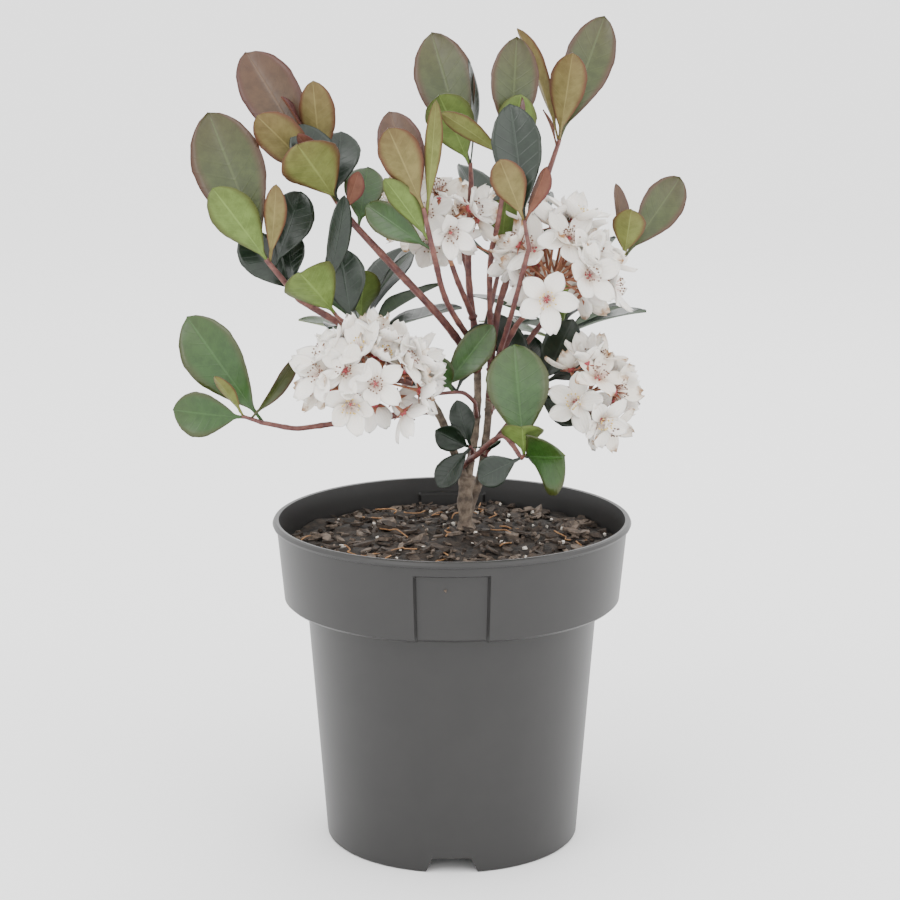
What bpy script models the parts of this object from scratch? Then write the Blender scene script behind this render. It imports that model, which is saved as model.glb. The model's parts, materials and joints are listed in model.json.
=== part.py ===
"""A potted Indian hawthorn in bloom: a nursery pot of compost, a short forked trunk, boughs, leaf shoots and trusses.

Lengths in the tables are millimetres and angles are degrees. X runs to the right, Y away from the front of the
pot and Z up. The origin is the centre of the pot's underside.
"""

import math
import random
from collections import namedtuple

import bmesh
import bpy
from mathutils import Quaternion, Vector
from mathutils.bvhtree import BVHTree

MM = 0.001
GAP = 0.3
SEED = 11

# Pot
POT_HEIGHT = 128.2
RIM_RADIUS = 70.0
BEAD_HEIGHT = 2.9
BEAD_DEPTH = 1.6
WALL = 1.4
COLLAR_FOOT_RADIUS = 65.6
COLLAR_FOOT_HEIGHT = 95.9
COLLAR_CORNER = 1.1
BODY_TOP_RADIUS = 57.0
BASE_RADIUS = 49.8
BASE_CHAMFER = 0.6
FOOT_WIDTH = 3.0
FLOOR_UNDERSIDE = 4.2
FLOOR_THICKNESS = 1.6
HUB_RADIUS = 14.0
POT_COLUMNS = 42
RECESS_HALF_WIDTH = 13.0
RECESS_DEPTH = 1.8
RECESS_TOP = 122.3
RECESS_SLOPE = 0.8
NOTCH_BOTTOM_WIDTH = 20.0
NOTCH_TOP_WIDTH = 14.6
NOTCH_HEIGHT = 6.2
DRAIN_HOLES = 8
DRAIN_RADIUS = 3.5
DRAIN_CIRCLE = 32.0

# Compost
COMPOST_EDGE = 117.0
COMPOST_CROWN = 120.0
COMPOST_RINGS = 5
COMPOST_RIPPLE = 0.9
FLAT_AROUND_TRUNK = 7.0

# Trunk
TRUNK_FOOT = (5.5, 12.0)
TRUNK_KNEE = (5.2, 12.0, 131.8)
TRUNK_TOP = (6.0, 12.0, 141.5)
TRUNK_RADIUS = 2.5
FLARE = 1.4
FLARE_HEIGHT = 2.2
KNEE_SWELL = 0.7
KNEE_HEIGHT = 11.0
KNEE_SPREAD = 3.0
FORK_SWELL = 0.9
FORK_SPREAD = 5.0

# Leaf: stations are fractions of the blade
LEAF_STATIONS = (0.0, 0.3, 0.62, 0.88)
PETIOLE_SHARE = 0.13
PETIOLE_HALF_WIDTH = 0.7
LEAF_THICKNESS = 0.75
LEAF_FULLNESS = 0.68
LEAF_FRONT_HEAVY = 1.32
LEAF_FOLD = 16.0
LEAF_CURL = 14.0
# Degrees of tipping and share of the size tried in turn, until a leaf clears its neighbours
LEAF_TRIES = (
    (0, 1.0), (7, 1.0), (-7, 1.0), (14, 1.0), (-14, 1.0), (21, 0.95), (-21, 0.95),
    (0, 0.85), (10, 0.85), (-10, 0.85), (26, 0.85), (-26, 0.85), (0, 0.72), (16, 0.72), (-16, 0.72),
)

# Flower
PETALS = 5
PETAL_LENGTH = 12.0
PETAL_WIDTH = 7.4
PETAL_OUTLINE = ((0.14, -0.24), (0.6, -0.5), (0.98, 0.0), (0.6, 0.5))
FLOWER_EYE_HEIGHT = 1.1
PEDICEL_RADIUS = 0.55

# A limb runs from a place along its parent, through the via points, to its end.
Limb = namedtuple("Limb", "parent at via end thick thin")
LIMBS = {
    "stem_left": Limb("trunk", 0.86, [(-1.2, 8, 157), (-9, 1, 175), (-34, -5, 199)], (-56, -9, 214), 1.7, 1.3),
    "stem_middle": Limb("trunk", 0.90, [(9.5, 15, 162), (9.8, 13, 190), (6.4, 10, 222)], (7.2, 2, 256), 1.7, 1.1),
    "stem_right": Limb("trunk", 0.18, [(10.2, 16.5, 136), (13.8, 14, 160), (18, 11, 208)], (35, 9, 256), 1.6, 1.2),
    "bough_upper_left": Limb("stem_middle", 0.38, [(-3, 6, 204)], (-30, -2, 235), 1.6, 1.4),
    "bough_centre": Limb("stem_middle", 0.45, [(-2, -7, 214)], (-7, -21, 235), 1.2, 1.1),
    "bough_top_middle": Limb("stem_right", 0.48, [(14.5, 2, 225)], (17, -10, 243), 1.2, 1.0),
    "bough_front": Limb("stem_right", 0.42, [(22, -12, 208)], (28, -26, 235), 1.1, 0.9),
    "bough_right": Limb("stem_right", 0.36, [(36, 19, 202)], (60, 13, 221), 1.2, 1.0),
    "bough_front_low": Limb("stem_left", 0.07, [(10, -6, 154.5), (19, -22, 165)], (25, -34, 160.5), 1.2, 0.9),
    "bough_low_left": Limb("stem_left", 0.34, [(-44, -13, 168), (-60, -20, 167.5)], (-70, -23, 170), 1.3, 0.9),
    "bough_inner_left": Limb("stem_left", 0.56, [(-28, -9, 197)], (-34, -12, 203), 1.1, 0.9),
    "bough_inner_middle": Limb("stem_middle", 0.22, [], (9, 3, 172), 1.1, 0.9),
    "bough_inner_right": Limb("stem_right", 0.20, [(22, 10, 163)], (29, 8, 172), 1.1, 0.9),
    "bough_inner_low": Limb("stem_middle", 0.07, [(8, 5, 152)], (8, 1, 154), 1.1, 0.9),
    "bough_back_left": Limb("stem_left", 0.40, [(-20, 22, 178)], (-32, 40, 190), 1.3, 0.9),
    "bough_back": Limb("stem_middle", 0.42, [(14, 34, 200)], (18, 48, 214), 1.3, 0.9),
    "bough_back_right": Limb("stem_right", 0.33, [(30, 34, 180)], (42, 52, 188), 1.3, 0.9),
    "truss_stalk_left": Limb("stem_left", 0.45, [(-18, -12, 184)], (-22, -19, 186), 1.2, 1.0),
    "truss_stalk_top": Limb("stem_middle", 0.56, [(2, 2, 221)], (0, 0, 227), 1.2, 1.0),
    "truss_stalk_right": Limb("stem_right", 0.45, [(26, 2, 205)], (30, -1, 209), 1.3, 1.0),
    "truss_stalk_low_right": Limb("stem_right", 0.38, [(32, -2, 178)], (42, -6, 180), 1.2, 1.0),
    "truss_stalk_back": Limb("stem_middle", 0.50, [(6, 24, 222)], (4, 30, 228), 1.2, 1.0),
}

# A leaf leaves its stem so many millimetres below the tip. It leans right of straight up as seen from the front,
# tips toward the front, and shows its upper side there at a face of 0 and its underside at 180.
Leaf = namedtuple("Leaf", "down lean toward face length width")
# A shoot runs on from its bough through its via points to its tip.
Shoot = namedtuple("Shoot", "bough via tip leaves")
SHOOTS = {
    "leaves_upper_left": Shoot("bough_upper_left", [(-40, -5, 247)], (-51, 5, 262), [
        Leaf(0, -31, -8, 8, 57, 23),
        Leaf(5, -42, 16, 176, 40, 17),
        Leaf(0, -16, -4, 84, 33, 10),
        Leaf(1, -3, 2, 172, 37, 15),
        Leaf(14, -30, 30, 178, 34, 23),
        Leaf(17, -26, 6, 20, 36, 17),
        Leaf(12, -24, 12, 150, 30, 10),
        Leaf(12, 4, -22, 0, 28, 17),
        Leaf(19, 22, 4, 150, 17, 8),
        Leaf(27, 8, -30, 0, 28, 16),
    ]),
    "leaves_left": Shoot("stem_left", [], (-70, -13, 231), [
        Leaf(0, -23, -14, 0, 62, 28),
        Leaf(2, -34, 12, 178, 38, 18),
        Leaf(1, 8, 6, 170, 32, 9),
        Leaf(4, 20, -20, 10, 34, 17),
        Leaf(17, -42, -6, 0, 32, 16),
        Leaf(15, -6, -24, 0, 26, 12),
    ]),
    "leaves_low_left": Shoot("bough_low_left", [(-73, -24, 171)], (-79, -26, 173.5), [
        Leaf(8, -37, -6, 0, 50, 23),
        Leaf(1, -84, 10, 0, 28, 18),
        Leaf(0, -26, 28, 160, 24, 6),
        Leaf(3, 42, 4, 40, 30, 8),
    ]),
    "leaves_inner_left": Shoot("bough_inner_left", [(-42, -13, 208)], (-49, -16, 217), [
        Leaf(0, 17, 4, 30, 40, 10),
        Leaf(8, -34, 30, 178, 28, 22),
        Leaf(16, -10, -6, 0, 30, 17),
    ]),
    "leaves_centre": Shoot("bough_centre", [], (-10.5, -28, 252), [
        Leaf(0, -22, 8, 178, 36, 16),
        Leaf(0, -20, -12, 0, 40, 17),
        Leaf(4, 6, 4, 172, 46, 7),
        Leaf(14, -32, 12, 160, 32, 11),
        Leaf(17, -58, -14, 0, 32, 13),
    ]),
    "leaves_top": Shoot("stem_middle", [], (7, 0, 266), [
        Leaf(0, -17, -12, 0, 54, 23),
        Leaf(1, -22, 12, 176, 34, 18),
        Leaf(0, 7, -4, 66, 40, 8),
    ]),
    "leaves_top_middle": Shoot("bough_top_middle", [(19, -12, 255)], (22, -12, 269), [
        Leaf(0, 3, -8, 0, 46, 19),
        Leaf(1, 9, 2, 176, 26, 15),
        Leaf(0, -52, 8, 168, 34, 8),
        Leaf(0, 16, 18, 60, 25, 5),
    ]),
    "leaves_front": Shoot("bough_front", [], (26.5, -31, 248), [
        Leaf(0, -21, 10, 176, 27, 13),
        Leaf(0, 24, -2, 130, 22, 9),
        Leaf(1, -7, -12, 8, 45, 19),
    ]),
    "leaves_top_right": Shoot("stem_right", [], (41, 8, 274), [
        Leaf(0, 21, -14, 0, 53, 19),
        Leaf(0, 8, 10, 176, 38, 14),
        Leaf(0, -13, -8, 120, 46, 11),
        Leaf(2, -12, 24, 110, 18, 4),
    ]),
    "leaves_right": Shoot("bough_right", [], (67, 10, 229), [
        Leaf(0, 37, -14, 0, 40, 17),
        Leaf(0, 6, 16, 176, 22, 13),
        Leaf(0, -4, 0, 40, 29, 8),
        Leaf(10, -24, -40, 0, 34, 20),
    ]),
    "leaves_front_low": Shoot("bough_front_low", [], (27, -39, 161.5), [
        Leaf(0, -5, -12, 0, 42, 25),
        Leaf(0, -4, 42, 176, 24, 16),
        Leaf(0, 84, 50, 20, 20, 28),
        Leaf(2, -118, -10, 20, 20, 12),
        Leaf(1, 104, -40, 0, 18, 10),
    ]),
    "leaves_inner_middle": Shoot("bough_inner_middle", [(4, -3, 178)], (-6, -6, 178), [
        Leaf(0, 39, 2, 0, 34, 14),
        Leaf(6, -30, 20, 0, 18, 11),
        Leaf(8, -48, 6, 0, 24, 12),
        Leaf(2, -70, 0, 0, 16, 9),
        Leaf(7, 24, -20, 0, 30, 12),
    ]),
    "leaves_inner_right": Shoot("bough_inner_right", [], (36, 8, 180), [
        Leaf(0, -40, -10, 0, 36, 13),
        Leaf(1, 24, 18, 0, 30, 15),
        Leaf(0, 64, -20, 0, 32, 15),
        Leaf(3, -20, -40, 0, 30, 15),
        Leaf(5, 116, 10, 0, 22, 13),
    ]),
    "leaves_inner_low": Shoot("bough_inner_low", [], (7, -4, 157), [
        Leaf(0, -136, 14, 30, 20, 11),
        Leaf(1, -60, 20, 0, 17, 11),
        Leaf(0, -16, 16, 0, 20, 10),
        Leaf(1, 84, 10, 70, 12, 7),
    ]),
    "leaves_back_left": Shoot("bough_back_left", [], (-38, 48, 198), []),
    "leaves_back": Shoot("bough_back", [], (20, 58, 224), []),
    "leaves_back_right": Shoot("bough_back_right", [], (46, 60, 196), []),
}
RULED_WHORLS = {"leaves_back_left": 10, "leaves_back": 6, "leaves_back_right": 10}
WHORL_STEP = 137.5
WHORL_SPACING = 1.0
WHORL_REACH = 38.0

# A truss is a dome of flowers on a branching stalk.
Truss = namedtuple("Truss", "stalk centre spread flowers")
TRUSSES = {
    "flowers_left": Truss("truss_stalk_left", (-32, -30, 188), (22, 13, 18), 17),
    "flowers_top": Truss("truss_stalk_top", (-7, -4, 246), (18, 11, 14), 12),
    "flowers_right": Truss("truss_stalk_right", (40, -8, 224), (21, 16, 22), 18),
    "flowers_low_right": Truss("truss_stalk_low_right", (53, -6, 176), (12, 13, 17), 12),
    "flowers_back": Truss("truss_stalk_back", (2, 40, 234), (20, 15, 15), 10),
}

COLOURS = {
    "pot": ((0.045, 0.043, 0.042), 0.42),
    "compost": ((0.025, 0.018, 0.013), 0.95),
    "trunk": ((0.20, 0.15, 0.10), 0.85),
    "stem": ((0.16, 0.08, 0.06), 0.7),
    "bough": ((0.14, 0.05, 0.05), 0.6),
    "truss": ((0.20, 0.12, 0.07), 0.7),
    "leaves": ((0.10, 0.20, 0.03), 0.45),
    "flowers": ((0.85, 0.82, 0.76), 0.5),
}


def material_for(name):
    """The material shared by every sub-part whose name starts with the same word."""
    kind = name.split("_")[0]
    found = bpy.data.materials.get(kind)
    if found:
        return found
    made = bpy.data.materials.new(kind)
    made.use_nodes = True
    shader = made.node_tree.nodes["Principled BSDF"]
    colour, roughness = COLOURS[kind]
    shader.inputs["Base Color"].default_value = (*colour, 1.0)
    shader.inputs["Roughness"].default_value = roughness
    shader.inputs["Metallic"].default_value = 0.0
    return made


def new_object(name, verts, faces, linked=True):
    """An object from millimetre points and faces, with its faces turned outward."""
    mesh = bpy.data.meshes.new(name)
    mesh.from_pydata([Vector(v) * MM for v in verts], [], faces)
    bm = bmesh.new()
    bm.from_mesh(mesh)
    bmesh.ops.recalc_face_normals(bm, faces=bm.faces)
    bm.to_mesh(mesh)
    bm.free()
    thing = bpy.data.objects.new(name, mesh)
    if linked:
        bpy.context.scene.collection.objects.link(thing)
        mesh.materials.append(material_for(name))
    return thing


def remove(things):
    for thing in things:
        mesh = thing.data
        bpy.data.objects.remove(thing)
        bpy.data.meshes.remove(mesh)


def combine(name, base, others, operation):
    """Applies one Boolean of base with a collection of others. A piece that leaves the result open is left out."""
    cut = base.modifiers.new(operation.title(), "BOOLEAN")
    cut.operation = operation
    cut.operand_type = "COLLECTION"
    for missing in [None, *others]:
        tools = bpy.data.collections.new(name + "_tools")
        for other in others:
            if other is not missing:
                tools.objects.link(other)
        cut.collection = tools
        for solver in ("EXACT", "MANIFOLD"):
            cut.solver = solver
            graph = bpy.context.evaluated_depsgraph_get()
            mesh = bpy.data.meshes.new_from_object(base.evaluated_get(graph))
            closed = keep_largest(mesh)
            if closed:
                break
        bpy.data.collections.remove(tools)
        if closed:
            break
    base.modifiers.clear()
    old = base.data
    base.data = mesh
    bpy.data.meshes.remove(old)
    remove(others)
    return base


def keep_largest(mesh):
    """Drops every loose piece but the largest. Says whether what is left is closed."""
    bm = bmesh.new()
    bm.from_mesh(mesh)
    bmesh.ops.remove_doubles(bm, verts=bm.verts, dist=0.002 * MM)
    bmesh.ops.dissolve_degenerate(bm, edges=bm.edges, dist=0.002 * MM)
    bmesh.ops.triangulate(bm, faces=bm.faces)
    pieces = []
    left = set(bm.verts)
    while left:
        piece = {left.pop()}
        edge_of_search = list(piece)
        while edge_of_search:
            for edge in edge_of_search.pop().link_edges:
                for vert in edge.verts:
                    if vert in left:
                        left.discard(vert)
                        piece.add(vert)
                        edge_of_search.append(vert)
        pieces.append(piece)
    largest = max(pieces, key=len)
    scrap = [vert for piece in pieces if piece is not largest for vert in piece]
    bmesh.ops.delete(bm, geom=scrap, context="VERTS")
    closed = bool(bm.faces) and all(edge.is_manifold for edge in bm.edges)
    bm.to_mesh(mesh)
    bm.free()
    return closed


def spline(points, steps):
    """Points along a smooth curve through the given ones."""
    points = [Vector(p) for p in points]
    if len(points) == 2:
        return [points[0].lerp(points[1], i / steps) for i in range(steps + 1)]
    ends = [points[0] * 2 - points[1], *points, points[-1] * 2 - points[-2]]
    lengths = [(b - a).length for a, b in zip(points, points[1:])]
    curve = [points[0]]
    for i, length in enumerate(lengths):
        a, b, c, d = ends[i : i + 4]
        count = max(1, round(steps * length / sum(lengths)))
        for k in range(1, count + 1):
            t = k / count
            point = (b * 2 + (c - a) * t + (a * 2 - b * 5 + c * 4 - d) * t**2 + (b * 3 - a - c * 3 + d) * t**3) / 2
            curve.append(point)
    return curve


def along(curve, share):
    """The point at a share of the curve's length, and the curve's direction there."""
    lengths = [(b - a).length for a, b in zip(curve, curve[1:])]
    rest = share * sum(lengths)
    for a, b, length in zip(curve, curve[1:], lengths):
        if rest <= length or b is curve[-1]:
            return a.lerp(b, min(1.0, rest / length)), (b - a).normalized()
        rest -= length


def tube(curve, radii, sides):
    """Points and faces of a closed tube along a curve."""
    verts = []
    faces = []
    tangents = []
    for i, _ in enumerate(curve):
        before = curve[max(0, i - 1)]
        after = curve[min(len(curve) - 1, i + 1)]
        tangents.append((after - before).normalized())
    side = tangents[0].orthogonal().normalized()
    for point, tangent, radius in zip(curve, tangents, radii):
        side = (side - tangent * side.dot(tangent)).normalized()
        other = tangent.cross(side)
        for k in range(sides):
            angle = 2 * math.pi * k / sides
            verts.append(point + side * (radius * math.cos(angle)) + other * (radius * math.sin(angle)))
    for i in range(len(curve) - 1):
        for k in range(sides):
            a = i * sides + k
            b = i * sides + (k + 1) % sides
            faces.append((a, b, b + sides, a + sides))
    faces.append(tuple(reversed(range(sides))))
    faces.append(tuple(range(len(verts) - sides, len(verts))))
    return verts, faces


def pot_columns():
    """Angles round the pot from the front, with the recess edges at the front and back among them."""
    edge = math.degrees(math.asin(RECESS_HALF_WIDTH / COLLAR_FOOT_RADIUS))
    slope = math.degrees(RECESS_SLOPE / COLLAR_FOOT_RADIUS)
    step = 360 / POT_COLUMNS
    plain = [i * step for i in range(POT_COLUMNS)]
    clear = edge + slope + step * 0.4
    columns = [a for a in plain if min(a % 180, 180 - a % 180) > clear]
    for middle in (0, 180):
        for offset in (-edge - slope, -edge, -edge / 2, 0, edge / 2, edge, edge + slope):
            columns.append((middle + offset) % 360)
    return [math.radians(a) for a in sorted(columns)], math.radians(edge), math.radians(edge + slope)


def recess_share(angle, edge, outer):
    """1 inside the recess's width, 0 outside it."""
    nearest = min(angle % math.pi, math.pi - angle % math.pi)
    return min(1.0, max(0.0, (outer - nearest) / (outer - edge)))


def collar_radius(height):
    """Outer radius of the collar's wall, which opens upward to the bead."""
    share = (height - COLLAR_FOOT_HEIGHT) / (POT_HEIGHT - BEAD_HEIGHT - COLLAR_FOOT_HEIGHT)
    return COLLAR_FOOT_RADIUS + share * (RIM_RADIUS - BEAD_DEPTH - COLLAR_FOOT_RADIUS)


def body_radius(height):
    """Outer radius of the body's wall below the collar."""
    return BASE_RADIUS + (BODY_TOP_RADIUS - BASE_RADIUS) * height / COLLAR_FOOT_HEIGHT


def pot_profile():
    """(radius, height, recessed) from the outside of the foot over the rim to the middle of the underside."""
    bead_foot = POT_HEIGHT - BEAD_HEIGHT
    corner = COLLAR_CORNER
    floor = FLOOR_UNDERSIDE + FLOOR_THICKNESS
    shoulder_inside = COLLAR_FOOT_HEIGHT + WALL
    return [
        (BASE_RADIUS - BASE_CHAMFER, 0.0, False),
        (BASE_RADIUS, BASE_CHAMFER, False),
        (BODY_TOP_RADIUS, COLLAR_FOOT_HEIGHT, False),
        (COLLAR_FOOT_RADIUS - corner, COLLAR_FOOT_HEIGHT, True),
        (collar_radius(COLLAR_FOOT_HEIGHT + corner), COLLAR_FOOT_HEIGHT + corner, True),
        (collar_radius(RECESS_TOP - RECESS_SLOPE), RECESS_TOP - RECESS_SLOPE, True),
        (collar_radius(RECESS_TOP), RECESS_TOP, False),
        (collar_radius(bead_foot), bead_foot, False),
        (RIM_RADIUS - 0.4, bead_foot + 0.5, False),
        (RIM_RADIUS, POT_HEIGHT - BEAD_HEIGHT / 2, False),
        (RIM_RADIUS - 0.5, POT_HEIGHT - 0.4, False),
        (RIM_RADIUS - 1.2, POT_HEIGHT, False),
        (RIM_RADIUS - 2.4, POT_HEIGHT - 0.2, False),
        (collar_radius(bead_foot) - WALL, bead_foot - 0.6, False),
        (collar_radius(RECESS_TOP) - WALL, RECESS_TOP, False),
        (collar_radius(RECESS_TOP - RECESS_SLOPE) - WALL, RECESS_TOP - RECESS_SLOPE, True),
        (collar_radius(shoulder_inside) - WALL, shoulder_inside + 0.6, True),
        (BODY_TOP_RADIUS - WALL, shoulder_inside - 0.6, False),
        (body_radius(floor) - WALL, floor, False),
        (0.0, floor, False),
        (0.0, 0.0, False),
        (HUB_RADIUS, 0.0, False),
        (HUB_RADIUS, FLOOR_UNDERSIDE, False),
        (BASE_RADIUS - FOOT_WIDTH, FLOOR_UNDERSIDE, False),
        (BASE_RADIUS - FOOT_WIDTH, 0.0, False),
    ]


def make_pot():
    columns, edge, outer = pot_columns()
    profile = pot_profile()
    verts = []
    rings = []
    for radius, height, recessed in profile:
        if radius == 0.0:
            rings.append([len(verts)])
            verts.append((0.0, 0.0, height))
            continue
        ring = []
        for angle in columns:
            depth = RECESS_DEPTH * recess_share(angle, edge, outer) if recessed else 0.0
            ring.append(len(verts))
            verts.append(((radius - depth) * math.sin(angle), -(radius - depth) * math.cos(angle), height))
        rings.append(ring)
    faces = []
    count = len(columns)
    for lower, upper in zip(rings, rings[1:] + rings[:1]):
        for k in range(count):
            n = (k + 1) % count
            if len(lower) == 1 and len(upper) == 1:
                break
            if len(upper) == 1:
                faces.append((lower[k], lower[n], upper[0]))
            elif len(lower) == 1:
                faces.append((lower[0], upper[n], upper[k]))
            else:
                faces.append((lower[k], lower[n], upper[n], upper[k]))
    pot = new_object("pot", verts, faces)
    return combine("pot", pot, foot_notches() + drain_holes(), "DIFFERENCE")


def foot_notches():
    """Trapezoid cutters through the foot at the front and back."""
    cutters = []
    bottom = NOTCH_BOTTOM_WIDTH / 2
    top = NOTCH_TOP_WIDTH / 2
    deep = BASE_RADIUS - FOOT_WIDTH * 1.5
    profile = [(-bottom, -1.0), (bottom, -1.0), (bottom, 0.0), (top, NOTCH_HEIGHT), (-top, NOTCH_HEIGHT), (-bottom, 0.0)]
    for side in (-1, 1):
        near = [(x, side * deep, z) for x, z in profile]
        far = [(x, side * (BASE_RADIUS + 5), z) for x, z in profile]
        n = len(profile)
        faces = [tuple(range(n)), tuple(range(n, 2 * n))]
        faces += [(k, (k + 1) % n, (k + 1) % n + n, k + n) for k in range(n)]
        cutters.append(new_object("notch_cutter", near + far, faces, linked=False))
    return cutters


def drain_holes():
    """Octagonal cutters through the floor."""
    cutters = []
    for i in range(DRAIN_HOLES):
        angle = 2 * math.pi * (i + 0.5) / DRAIN_HOLES
        x, y = DRAIN_CIRCLE * math.cos(angle), DRAIN_CIRCLE * math.sin(angle)
        curve = [Vector((x, y, FLOOR_UNDERSIDE - 1)), Vector((x, y, FLOOR_UNDERSIDE + FLOOR_THICKNESS + 1))]
        cutters.append(new_object("drain_cutter", *tube(curve, [DRAIN_RADIUS] * 2, 8), linked=False))
    return cutters


def compost_height(x, y):
    """Height of the compost's lightly lumped crown, which is flat round the trunk."""
    radius = math.hypot(x, y)
    crown = COMPOST_CROWN - (COMPOST_CROWN - COMPOST_EDGE) * (radius / RIM_RADIUS) ** 2
    from_trunk = math.hypot(x - TRUNK_FOOT[0], y - TRUNK_FOOT[1])
    ease = min(1.0, max(0.0, (from_trunk - FLAT_AROUND_TRUNK) / FLAT_AROUND_TRUNK))
    lumps = math.sin(0.21 * x + 0.9) * math.cos(0.17 * y) + 0.6 * math.sin(0.11 * x - 0.33 * y)
    return COMPOST_CROWN + ease * (crown - COMPOST_CROWN + COMPOST_RIPPLE * lumps)


def make_compost():
    columns, edge, outer = pot_columns()
    floor = FLOOR_UNDERSIDE + FLOOR_THICKNESS + GAP
    shoulder = COLLAR_FOOT_HEIGHT + WALL
    sides = [
        (body_radius(floor) - WALL - GAP, floor, False),
        (BODY_TOP_RADIUS - WALL - GAP, shoulder - 0.6, False),
        (collar_radius(shoulder) - WALL - GAP, shoulder + 0.6 + GAP, True),
        (collar_radius(COMPOST_EDGE) - WALL - GAP, COMPOST_EDGE - 1.5, True),
    ]
    verts = []
    rings = []
    for radius, height, recessed in sides:
        ring = []
        for angle in columns:
            depth = RECESS_DEPTH * recess_share(angle, edge, outer) if recessed else 0.0
            ring.append(len(verts))
            verts.append(((radius - depth) * math.sin(angle), -(radius - depth) * math.cos(angle), height))
        rings.append(ring)
    rim = [Vector(verts[i]) for i in rings[-1]]
    for step in range(COMPOST_RINGS):
        share = 1 - step / COMPOST_RINGS
        ring = []
        for point in rim:
            x, y = point.x * share, point.y * share
            ring.append(len(verts))
            verts.append((x, y, compost_height(x, y)))
        rings.append(ring)
    verts.append((0.0, 0.0, compost_height(0.0, 0.0)))
    count = len(columns)
    faces = [tuple(reversed(rings[0]))]
    for lower, upper in zip(rings, rings[1:]):
        faces += [(lower[k], lower[(k + 1) % count], upper[(k + 1) % count], upper[k]) for k in range(count)]
    faces += [(rings[-1][k], rings[-1][(k + 1) % count], len(verts) - 1) for k in range(count)]
    return new_object("compost", verts, faces)


def trunk_curve():
    foot = (*TRUNK_FOOT, COMPOST_CROWN + GAP)
    return spline([foot, TRUNK_KNEE, TRUNK_TOP], 9)


def trunk_radius(height):
    flare = FLARE * math.exp(-height / FLARE_HEIGHT)
    knee = KNEE_SWELL * math.exp(-(((height - KNEE_HEIGHT) / KNEE_SPREAD) ** 2))
    top = TRUNK_TOP[2] - COMPOST_CROWN
    fork = FORK_SWELL * math.exp(-(((top - height) / FORK_SPREAD) ** 2))
    return TRUNK_RADIUS + flare + knee + fork


def trunk_tube(grow=0.0):
    curve = trunk_curve()
    radii = [trunk_radius(p.z - curve[0].z) + grow for p in curve]
    if grow:
        curve = [curve[0] - Vector((0, 0, grow)), *curve[1:-1], curve[-1] + Vector((0, 0, grow))]
    return tube(curve, radii, 10)


def limb_curve(name, curves):
    limb = LIMBS[name]
    start, _ = along(curves[limb.parent], limb.at)
    length = (Vector(limb.end) - start).length
    return spline([start, *limb.via, limb.end], max(3, round(length / 9)))


def limb_tube(curve, thick, thin, grow=0.0, sides=6):
    last = len(curve) - 1
    radii = [thick + (thin - thick) * i / last + grow for i in range(len(curve))]
    if grow:
        curve = list(curve)
        curve[-1] = curve[-1] + (curve[-1] - curve[-2]).normalized() * grow
    return tube(curve, radii, sides)


def tree_of(verts, faces):
    return BVHTree.FromPolygons([tuple(v) for v in verts], faces)


class Crowd:
    """The pieces that are placed so far, each inflated by the gap, to cut or to keep new ones clear of."""

    def __init__(self):
        self.pieces = []

    def add(self, node, real, inflated):
        self.pieces.append((node, tree_of(*real), inflated))

    def hit_by(self, node, shape):
        """Nodes other than this one whose pieces the shape meets."""
        tree = tree_of(*shape)
        return [other for other, placed, _ in self.pieces if other != node and placed.overlap(tree)]

    def cutters_for(self, shape):
        """Inflated copies of the placed pieces that the shape meets."""
        tree = tree_of(*shape)
        return [big for _, _, big in self.pieces if big and tree_of(*big).overlap(tree)]


def make_limbs(crowd):
    curves = {"trunk": trunk_curve()}
    new_object("trunk", *trunk_tube())
    crowd.add("trunk", trunk_tube(), trunk_tube(GAP))
    for name, limb in LIMBS.items():
        curve = limb_curve(name, curves)
        curves[name] = curve
        shape = limb_tube(curve, limb.thick, limb.thin)
        thing = new_object(name, *shape)
        cutters = [new_object("clear", *big, linked=False) for big in crowd.cutters_for(shape)]
        if cutters:
            combine(name, thing, cutters, "DIFFERENCE")
        crowd.add(name, shape, limb_tube(curve, limb.thick, limb.thin, GAP))
    return curves


def shoot_curve(bough_curve, via, tip):
    """A stem that starts a gap beyond its bough's tip."""
    end = bough_curve[-1]
    heading = (end - bough_curve[-2]).normalized()
    start = end + heading * GAP
    length = (Vector(tip) - start).length
    return spline([start, start + heading * 2, *via, tip], max(3, round(length / 5)))


def leaf_axes(lean, toward, face):
    """Unit directions along a leaf, across it and out of its upper side."""
    lean, toward = math.radians(lean), math.radians(toward)
    ahead = Vector((math.sin(lean) * math.cos(toward), -math.sin(toward), math.cos(lean) * math.cos(toward)))
    front = Vector((0, -1, 0))
    if abs(ahead.y) > 0.97:
        front = Vector((0, 0, 1))
    upper = (front - ahead * front.dot(ahead)).normalized()
    upper.rotate(Quaternion(ahead, math.radians(face)))
    return ahead, ahead.cross(upper), upper


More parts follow.
